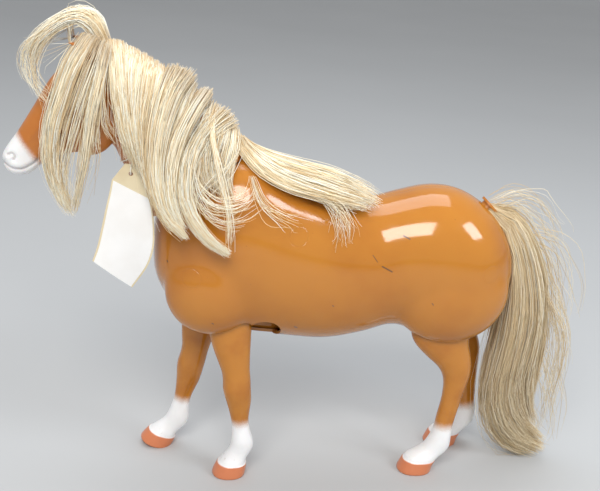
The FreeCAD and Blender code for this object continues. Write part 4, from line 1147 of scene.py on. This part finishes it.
# %% Lay the forelock
hair_piece("forelock_fibres", [
    fibres(TUFT, 560, 31, ((3, 3, 1.5), (3, 4, 3), (3, 3, 3)), locks=6, gather=0.5, fray=0.5,
           wave=1.8, free=True),
    fibres(TUFT_WISPS, 60, 32, ((2, 2, 2), (3, 3, 3), (4, 3, 4)), scattered=True, wave=2.5, fray=0.4,
           thick=0.15, free=True),
    fibres(FACE, 560, 33, ((3, 2.5, 1.5), (2.2, 2.4, 3), (1.8, 1.6, 4)), locks=12, gather=0.86,
           fray=0.3, crowd=((0, 0.66, 0.76, 1), (0, 0.9, 2.6, 3))),
    fibres(CHEEK, 55, 34, ((2, 1.5, 1.5), (2, 1.5, 2), (3, 2, 3)), locks=5, gather=0.6, fray=0.4),
    fibres(FACE + TUFT, 70, 35, ((2, 2, 2), (5, 3, 5), (8, 4, 8)), scattered=True, wave=4, fray=0.5,
           thick=0.15)], mane_finish, "head", ["forelock_hair"])

# %% [markdown]
# ## The tail
# The tail is one thick bundle, glued into a plug and combed down. It swells behind the rump and
# sweeps out at its end, with frizz on the outer side.

# %% Tail guides
TAIL = [
    [(121.1, 3, 177.5), (132.3, 4, 176.1), (146.6, 5, 164.1), (158.5, 5, 142.5), (165.5, 4, 116.4),
     (169.6, 3, 89.4), (165.9, 2, 64.7), (156, 1, 47.9)],
    [(118.9, -2, 177.8), (129, -4, 174.8), (140, -6, 161.3), (148.6, -7, 138.9), (154.6, -7, 111.2),
     (154.7, -6, 82.1), (152.7, -5, 54.9), (161.8, -4, 31.4), (175.9, -3, 15.2)],
    [(117.7, -4, 177.2), (125.4, -7, 170.6), (132.8, -9, 154.2), (139, -10, 130.4), (141.3, -10, 104),
     (139.9, -9, 79.1), (138.6, -8, 55.1), (146.7, -7, 31.8), (162.8, -5, 14.9), (180, -4, 7)],
    [(120.5, 2, 175.2), (129.1, 2, 164.8), (135.3, 2, 143.2), (138.7, 1, 118.7), (136.8, 0, 93.4),
     (135.1, 0, 68.6), (134.5, 0, 43.1), (141.7, 0, 19.9), (155, 0, 5.6), (171.8, -1, 2)],
]
TAIL_BACK = [
    [(122.4, 6, 175.2), (134.7, 9, 169.1), (146.1, 11, 152.3), (153.3, 11, 127.4), (156.4, 10, 100.6),
     (154.7, 9, 73), (151.4, 8, 46.2), (157.4, 7, 26.5), (168.7, 6, 12.9)],
]
TAIL_WISPS = [
    [(157.9, 3, 140.6), (172.8, 4, 113.6), (182.9, 2, 85.6), (181.9, 2, 55.6), (187.6, 0, 33.6)],
    [(149.4, 3, 158.2), (166.5, 6, 150.6), (180.9, 6, 127.1), (185.4, 4, 92)],
    [(122.3, 0, 177.9), (138.8, 2, 181.9), (157.7, 4, 170.9), (172.8, 6, 148.8)],
    [(161, -4, 124.1), (179.9, -2, 94.9), (185, 0, 62.7), (180.9, 0, 33.7), (188.5, 0, 10)],
    [(150, 0, 96), (165, 2, 82), (176, 2, 60), (183, 1, 34), (180, 1, 12)],
]

# %% Lay the tail
hair_piece("tail_fibres", [
    fibres(TAIL, 2500, 41, ((2.2, 3, 1.2), (5, 6.5, 4), (4, 5, 4)), locks=16, gather=0.55,
           fray=0.22, wave=1.8),
    fibres(TAIL_BACK, 420, 42, ((2, 2, 1), (6, 5, 4), (6, 4, 5)), fray=0.3, wave=2)],
    tail_finish, "body", ["tail_hair"])
hair_piece("tail_frizz", [
    fibres(TAIL_WISPS, 150, 43, ((6, 4, 7), (9, 6, 12), (10, 6, 14)), scattered=True, wave=5, fray=0.7,
           thick=0.15),
    fibres(TAIL, 160, 44, ((2, 2, 2), (7, 6, 6), (9, 6, 6)), scattered=True, wave=4, fray=0.5,
           thick=0.15)],
    tail_finish, "body")

# %% [markdown]
# ## String and price tag
# A strung manila tag hangs from a loop of cotton round the throat. The cotton is two plies twisted
# together, knotted on the left with two short ends that lie over the mane. The card has clipped top
# corners and a punched hole; a blank white label is stuck on it, and the whole tag has curled.

# %% Cotton and paper
# shares of the cord's radius: how far a ply's middle is from the cord's, and the ply's own radius
PLY_OFF, PLY_RADIUS = 0.45, 0.58
# length of cord in which the plies turn once
TWIST = 2.6


def cord_mesh(line, radius, pitch):
    """Two plies twisted round a line."""
    rows = smooth_line(line, max(int(len(line) * 24), 60))
    run = np.gradient(rows, axis=0)
    run /= np.linalg.norm(run, axis=1, keepdims=True)
    flat = np.cross(run, (0.2, 0.15, 0.97))
    flat /= np.linalg.norm(flat, axis=1, keepdims=True)
    third = np.cross(run, flat)
    far = np.concatenate([[0], np.cumsum(np.linalg.norm(np.diff(rows, axis=0), axis=1))])
    points, faces = [], []
    turn = np.linspace(0, 2 * np.pi, 8, endpoint=False)
    for ply in (0, np.pi):
        angle = (2 * np.pi * far / pitch + ply)[:, None]
        middle = rows + (flat * np.cos(angle) + third * np.sin(angle)) * radius * PLY_OFF
        rings = middle[:, None] + (flat[:, None] * np.cos(turn)[None, :, None]
                                   + third[:, None] * np.sin(turn)[None, :, None]) * radius * PLY_RADIUS
        ply_points, ply_faces = ring_mesh(rings)
        faces += [[k + len(points) for k in face] for face in ply_faces]
        points += list(ply_points)
    return points, faces


def paper_finish(name, colour, shade):
    finish = Finish(name, Roughness=0.6, IOR=1.45)
    place = finish.place()
    fibre = finish.noise(finish.stretch(place, (1.0, 1.0, 3.0)), 900.0, 4.0)
    cloud = finish.noise(place, 45.0, 3.0)
    tint = finish.mix(finish.step(cloud, 0.35, 0.7), colour, shade)
    return finish.feed(Base_Color=tint, Roughness=0.5 + fibre * 0.2,
                       Normal=finish.bump(fibre, 0.25, 0.0001))


cotton_finish = paper_finish("white_cotton", (0.86, 0.84, 0.78), (0.74, 0.70, 0.60))
card_finish = paper_finish("manila_card", (0.74, 0.64, 0.44), (0.66, 0.55, 0.36))
label_finish = paper_finish("blank_label", (0.86, 0.86, 0.86), (0.82, 0.81, 0.80))


def cotton(name, lines, body, replaces=()):
    points, faces = [], []
    for line, radius in lines:
        more, more_faces = cord_mesh(line, radius, TWIST)
        faces += [[k + len(points) for k in face] for face in more_faces]
        points += more
    cord = new_object(name, points, faces)
    soft_shading(cord, 80)
    cord.data.materials.append(cotton_finish)
    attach(cord, body)
    if replaces:
        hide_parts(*replaces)
    print(name, len(faces), "faces")


# %% Loop round the throat and its knot
KNOT = (-97.9, -15.6, 207.4)
KNOT_SIZE, KNOT_DEPTH = 0.45, 0.6
THROAT_LOW, THROAT_HIGH, THROAT_WIDE = (-105.4, 201.3), (-60.1, 238.9), 16.6


def throat_loop():
    """Closed line round the neck, lifted clear of the skin everywhere."""
    low, high = np.array(THROAT_LOW), np.array(THROAT_HIGH)
    middle, half = (low + high) / 2, (low - high) / 2
    line = []
    for angle in np.linspace(0, 2 * np.pi, 41):
        x, z = middle + half * math.cos(angle) * 1.03
        spot = Vector((x, -THROAT_WIDE * 1.05 * math.sin(angle), z))
        near, normal, _, _ = HEAD_SKIN.find_nearest(spot, 40)
        line.append(tuple(near + normal * 0.6))
    return line


def knot_line():
    """An overhand knot: a small trefoil round the loop."""
    line = []
    for t in np.linspace(0, 2 * np.pi, 25):
        across = KNOT_SIZE * (math.sin(t) + 2 * math.sin(2 * t))
        up = KNOT_SIZE * (math.cos(t) - 2 * math.cos(2 * t))
        line.append((KNOT[0] + across, KNOT[1] - KNOT_DEPTH * math.sin(3 * t), KNOT[2] + up))
    return line


cotton("throat_string", [
    (throat_loop(), 0.42),
    (knot_line(), 0.5),
    ([KNOT, (-95.5, -19.5, 211.5), (-92.6, -24.2, 217.0), (-89.5, -27.0, 223.0)], 0.42),
    ([KNOT, (-95.8, -19.0, 205.0), (-92.8, -24.5, 200.5), (-90.6, -27.0, 196.5)], 0.5)],
    "head", ["tag_string"])

# %% The hanging tag
# (left x, y, z, right x, y, z) down the card
TAG_TOP = [(-102.6, -18.2, 204.2, -96.4, -19.4, 204.2), (-110.0, -16.0, 193.8, -88.3, -22.6, 184.9)]
TAG_ROWS = [
    TAG_TOP[1], (-111.4, -16.8, 186.0, -86.6, -24.6, 177.0),
    (-113.4, -18.2, 177.0, -85.6, -26.3, 168.0), (-115.6, -19.8, 166.0, -85.8, -27.0, 157.0),
    (-118.0, -21.2, 155.0, -89.2, -25.8, 145.0), (-120.8, -22.4, 146.5, -97.8, -23.2, 130.5),
]
CARD_THICK, LABEL_THICK = 0.45, 0.1
# share of the card's width left bare at each side, and the height of the label's middle off the card
LABEL_INSET, LABEL_LIFT = 0.035, 0.09
TAG_HOLE = (-99.3, 198.6, 1.25)


def tag_grid(rows, across, inset, lift):
    """Curled sheet between two edge lines; inset pulls its edges in and lift moves it off the card."""
    u = np.linspace(inset, 1 - inset, across)[None, :, None]
    left, right = rows[:, None, :3], rows[:, None, 3:]
    grid = left * (1 - u) + right * u
    grid[:, :, 1] -= 0.9 * np.sin(np.pi * u[:, :, 0]) * np.linspace(0.3, 1, len(rows))[:, None] + lift
    return grid


def sheet_mesh(name, grid, thick, material):
    rows, across = grid.shape[:2]
    faces = [(r * across + c, r * across + c + 1, (r + 1) * across + c + 1, (r + 1) * across + c)
             for r in range(rows - 1) for c in range(across - 1)]
    sheet = new_object(name, grid.reshape(-1, 3).tolist(), faces)
    wall = sheet.modifiers.new("wall", "SOLIDIFY")
    wall.thickness = thick * MM
    wall.offset = 0
    bake_modifiers(sheet)
    outward(sheet)
    sheet.data.materials.append(material)
    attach(sheet, "tag")
    return sheet


top_rows = np.linspace(TAG_TOP[0], TAG_TOP[1], 12)
main_rows = smooth_line(TAG_ROWS, 44)
card_grid = tag_grid(np.vstack([top_rows, main_rows[1:]]), 20, 0, 0)
card = sheet_mesh("tag_card", card_grid, CARD_THICK, card_finish)
punch_x, punch_z, punch_radius = TAG_HOLE
ring_x, ring_z = round_section(24, 2)
punch = np.empty((2, 24, 3))
for ring, y in zip(punch, (-10, -30)):
    ring[:, 0] = punch_x + ring_x * punch_radius
    ring[:, 1] = y
    ring[:, 2] = punch_z + ring_z * punch_radius
subtract(card, outward(new_object("punch", *ring_mesh(punch))))
soft_shading(card, 40)
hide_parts("paper_tag")
label_grid = tag_grid(main_rows, 20, LABEL_INSET, CARD_THICK / 2 + LABEL_LIFT)
label = sheet_mesh("tag_label", label_grid, LABEL_THICK, label_finish)
soft_shading(label, 40)
cotton("tag_bight", [
    ([(-98.2, -17.3, 206.6), (-99.2, -19.9, 203.0), (-99.6, -20.2, 199.4), (-99.3, -18.9, 198.0),
      (-98.6, -17.4, 199.4), (-98.0, -16.6, 203.0), (-97.8, -16.6, 206.6)], 0.36)], "tag", ["tag_loop"])

# %% [markdown]
# ## Parts inside the shell
# The axles and screws are zinc-plated steel, the sleeves, the neck plug and the retainer are grey
# injection mouldings, the tail plug is moulded in tan, and the friction washers are fibre. They are
# machined or moulded parts whose outlines are already right, so they keep their shapes and only
# receive a finish.

# %% Finishes inside
def inner_finish(name, light, dark, rough, **constants):
    finish = Finish(name, **constants)
    place = finish.place()
    cloud = finish.noise(place, 120.0, 3.0)
    colour = finish.mix(finish.step(cloud, 0.35, 0.7), light, dark)
    return finish.feed(Base_Color=colour, Roughness=rough + cloud * 0.15,
                       Normal=finish.bump(cloud, 0.1, 0.0001))


steel = inner_finish("zinc_plated_steel", (0.62, 0.62, 0.60), (0.50, 0.50, 0.50), 0.25, Metallic=1.0)
moulding = inner_finish("hidden_nylon", (0.62, 0.60, 0.55), (0.54, 0.52, 0.47), 0.4, IOR=1.5)
tan_moulding = inner_finish("tan_moulding", TAN, TAN_DEEP, 0.25, IOR=1.5)
washer = inner_finish("washer_fibre", (0.30, 0.11, 0.06), (0.22, 0.08, 0.05), 0.6, IOR=1.45)
INSIDE = {"front_axle": steel, "rear_axle": steel, "neck_screw": steel, "shell_screws": steel,
          "front_axle_sleeve": moulding, "rear_axle_sleeve": moulding, "neck_plug": moulding,
          "neck_retainer": moulding, "tail_plug": tan_moulding,
          "front_friction_washers": washer, "rear_friction_washers": washer}
for name, material in INSIDE.items():
    part = bpy.data.objects[name]
    part.data.materials.clear()
    part.data.materials.append(material)
print("inside parts", len(INSIDE))

# %% [markdown]
# ## Table and light
# The toy stands on a plain pale table. A large soft panel above and in front gives the broad window
# on the flank, a second one lights the rump, and one overhead draws the line of the back. The world
# adds an even pale light.

# %% Table
def table_finish():
    finish = Finish("pale_table", Roughness=0.7, IOR=1.4)
    cloud = finish.noise(finish.place(), 3.0, 2.0)
    return finish.feed(Base_Color=finish.mix(cloud, (0.50, 0.51, 0.52), (0.46, 0.47, 0.48)),
                       Roughness=0.66 + cloud * 0.08)


TABLE_HALF = 6000
corners = [(x * TABLE_HALF, y * TABLE_HALF, 0) for x, y in ((-1, -1), (1, -1), (1, 1), (-1, 1))]
floor = new_object("table", corners, [(0, 1, 2, 3)])
floor.data.materials.append(table_finish())


# %% Lights
def panel(name, place, aim, wide, tall, power, colour):
    light = bpy.data.lights.new(name, "AREA")
    light.shape = "RECTANGLE"
    light.size, light.size_y = wide, tall
    light.energy = power
    light.color = colour
    thing = bpy.data.objects.new(name, light)
    thing.location = place
    thing.rotation_euler = (Vector(aim) - Vector(place)).to_track_quat("-Z", "Y").to_euler()
    bpy.context.scene.collection.objects.link(thing)
    return thing


WARM, COOL = (1.0, 0.97, 0.92), (0.92, 0.96, 1.0)
panel("window", (-0.25, -0.95, 1.10), (0.0, 0.0, 0.14), 0.80, 0.52, 14.0, WARM)
panel("side_window", (0.85, -0.55, 0.85), (0.05, 0.0, 0.14), 0.40, 0.40, 5.0, COOL)
panel("overhead", (0.0, 0.35, 1.35), (0.0, 0.0, 0.1), 1.1, 0.8, 8.0, COOL)
world = bpy.data.worlds.new("pale_room")
world.use_nodes = True
air = world.node_tree.nodes["Background"]
air.inputs["Color"].default_value = (0.90, 0.91, 0.92, 1)
air.inputs["Strength"].default_value = 0.55
bpy.context.scene.world = world
bpy.context.scene.view_settings.view_transform = "Standard"
print("lights", len(bpy.data.lights))
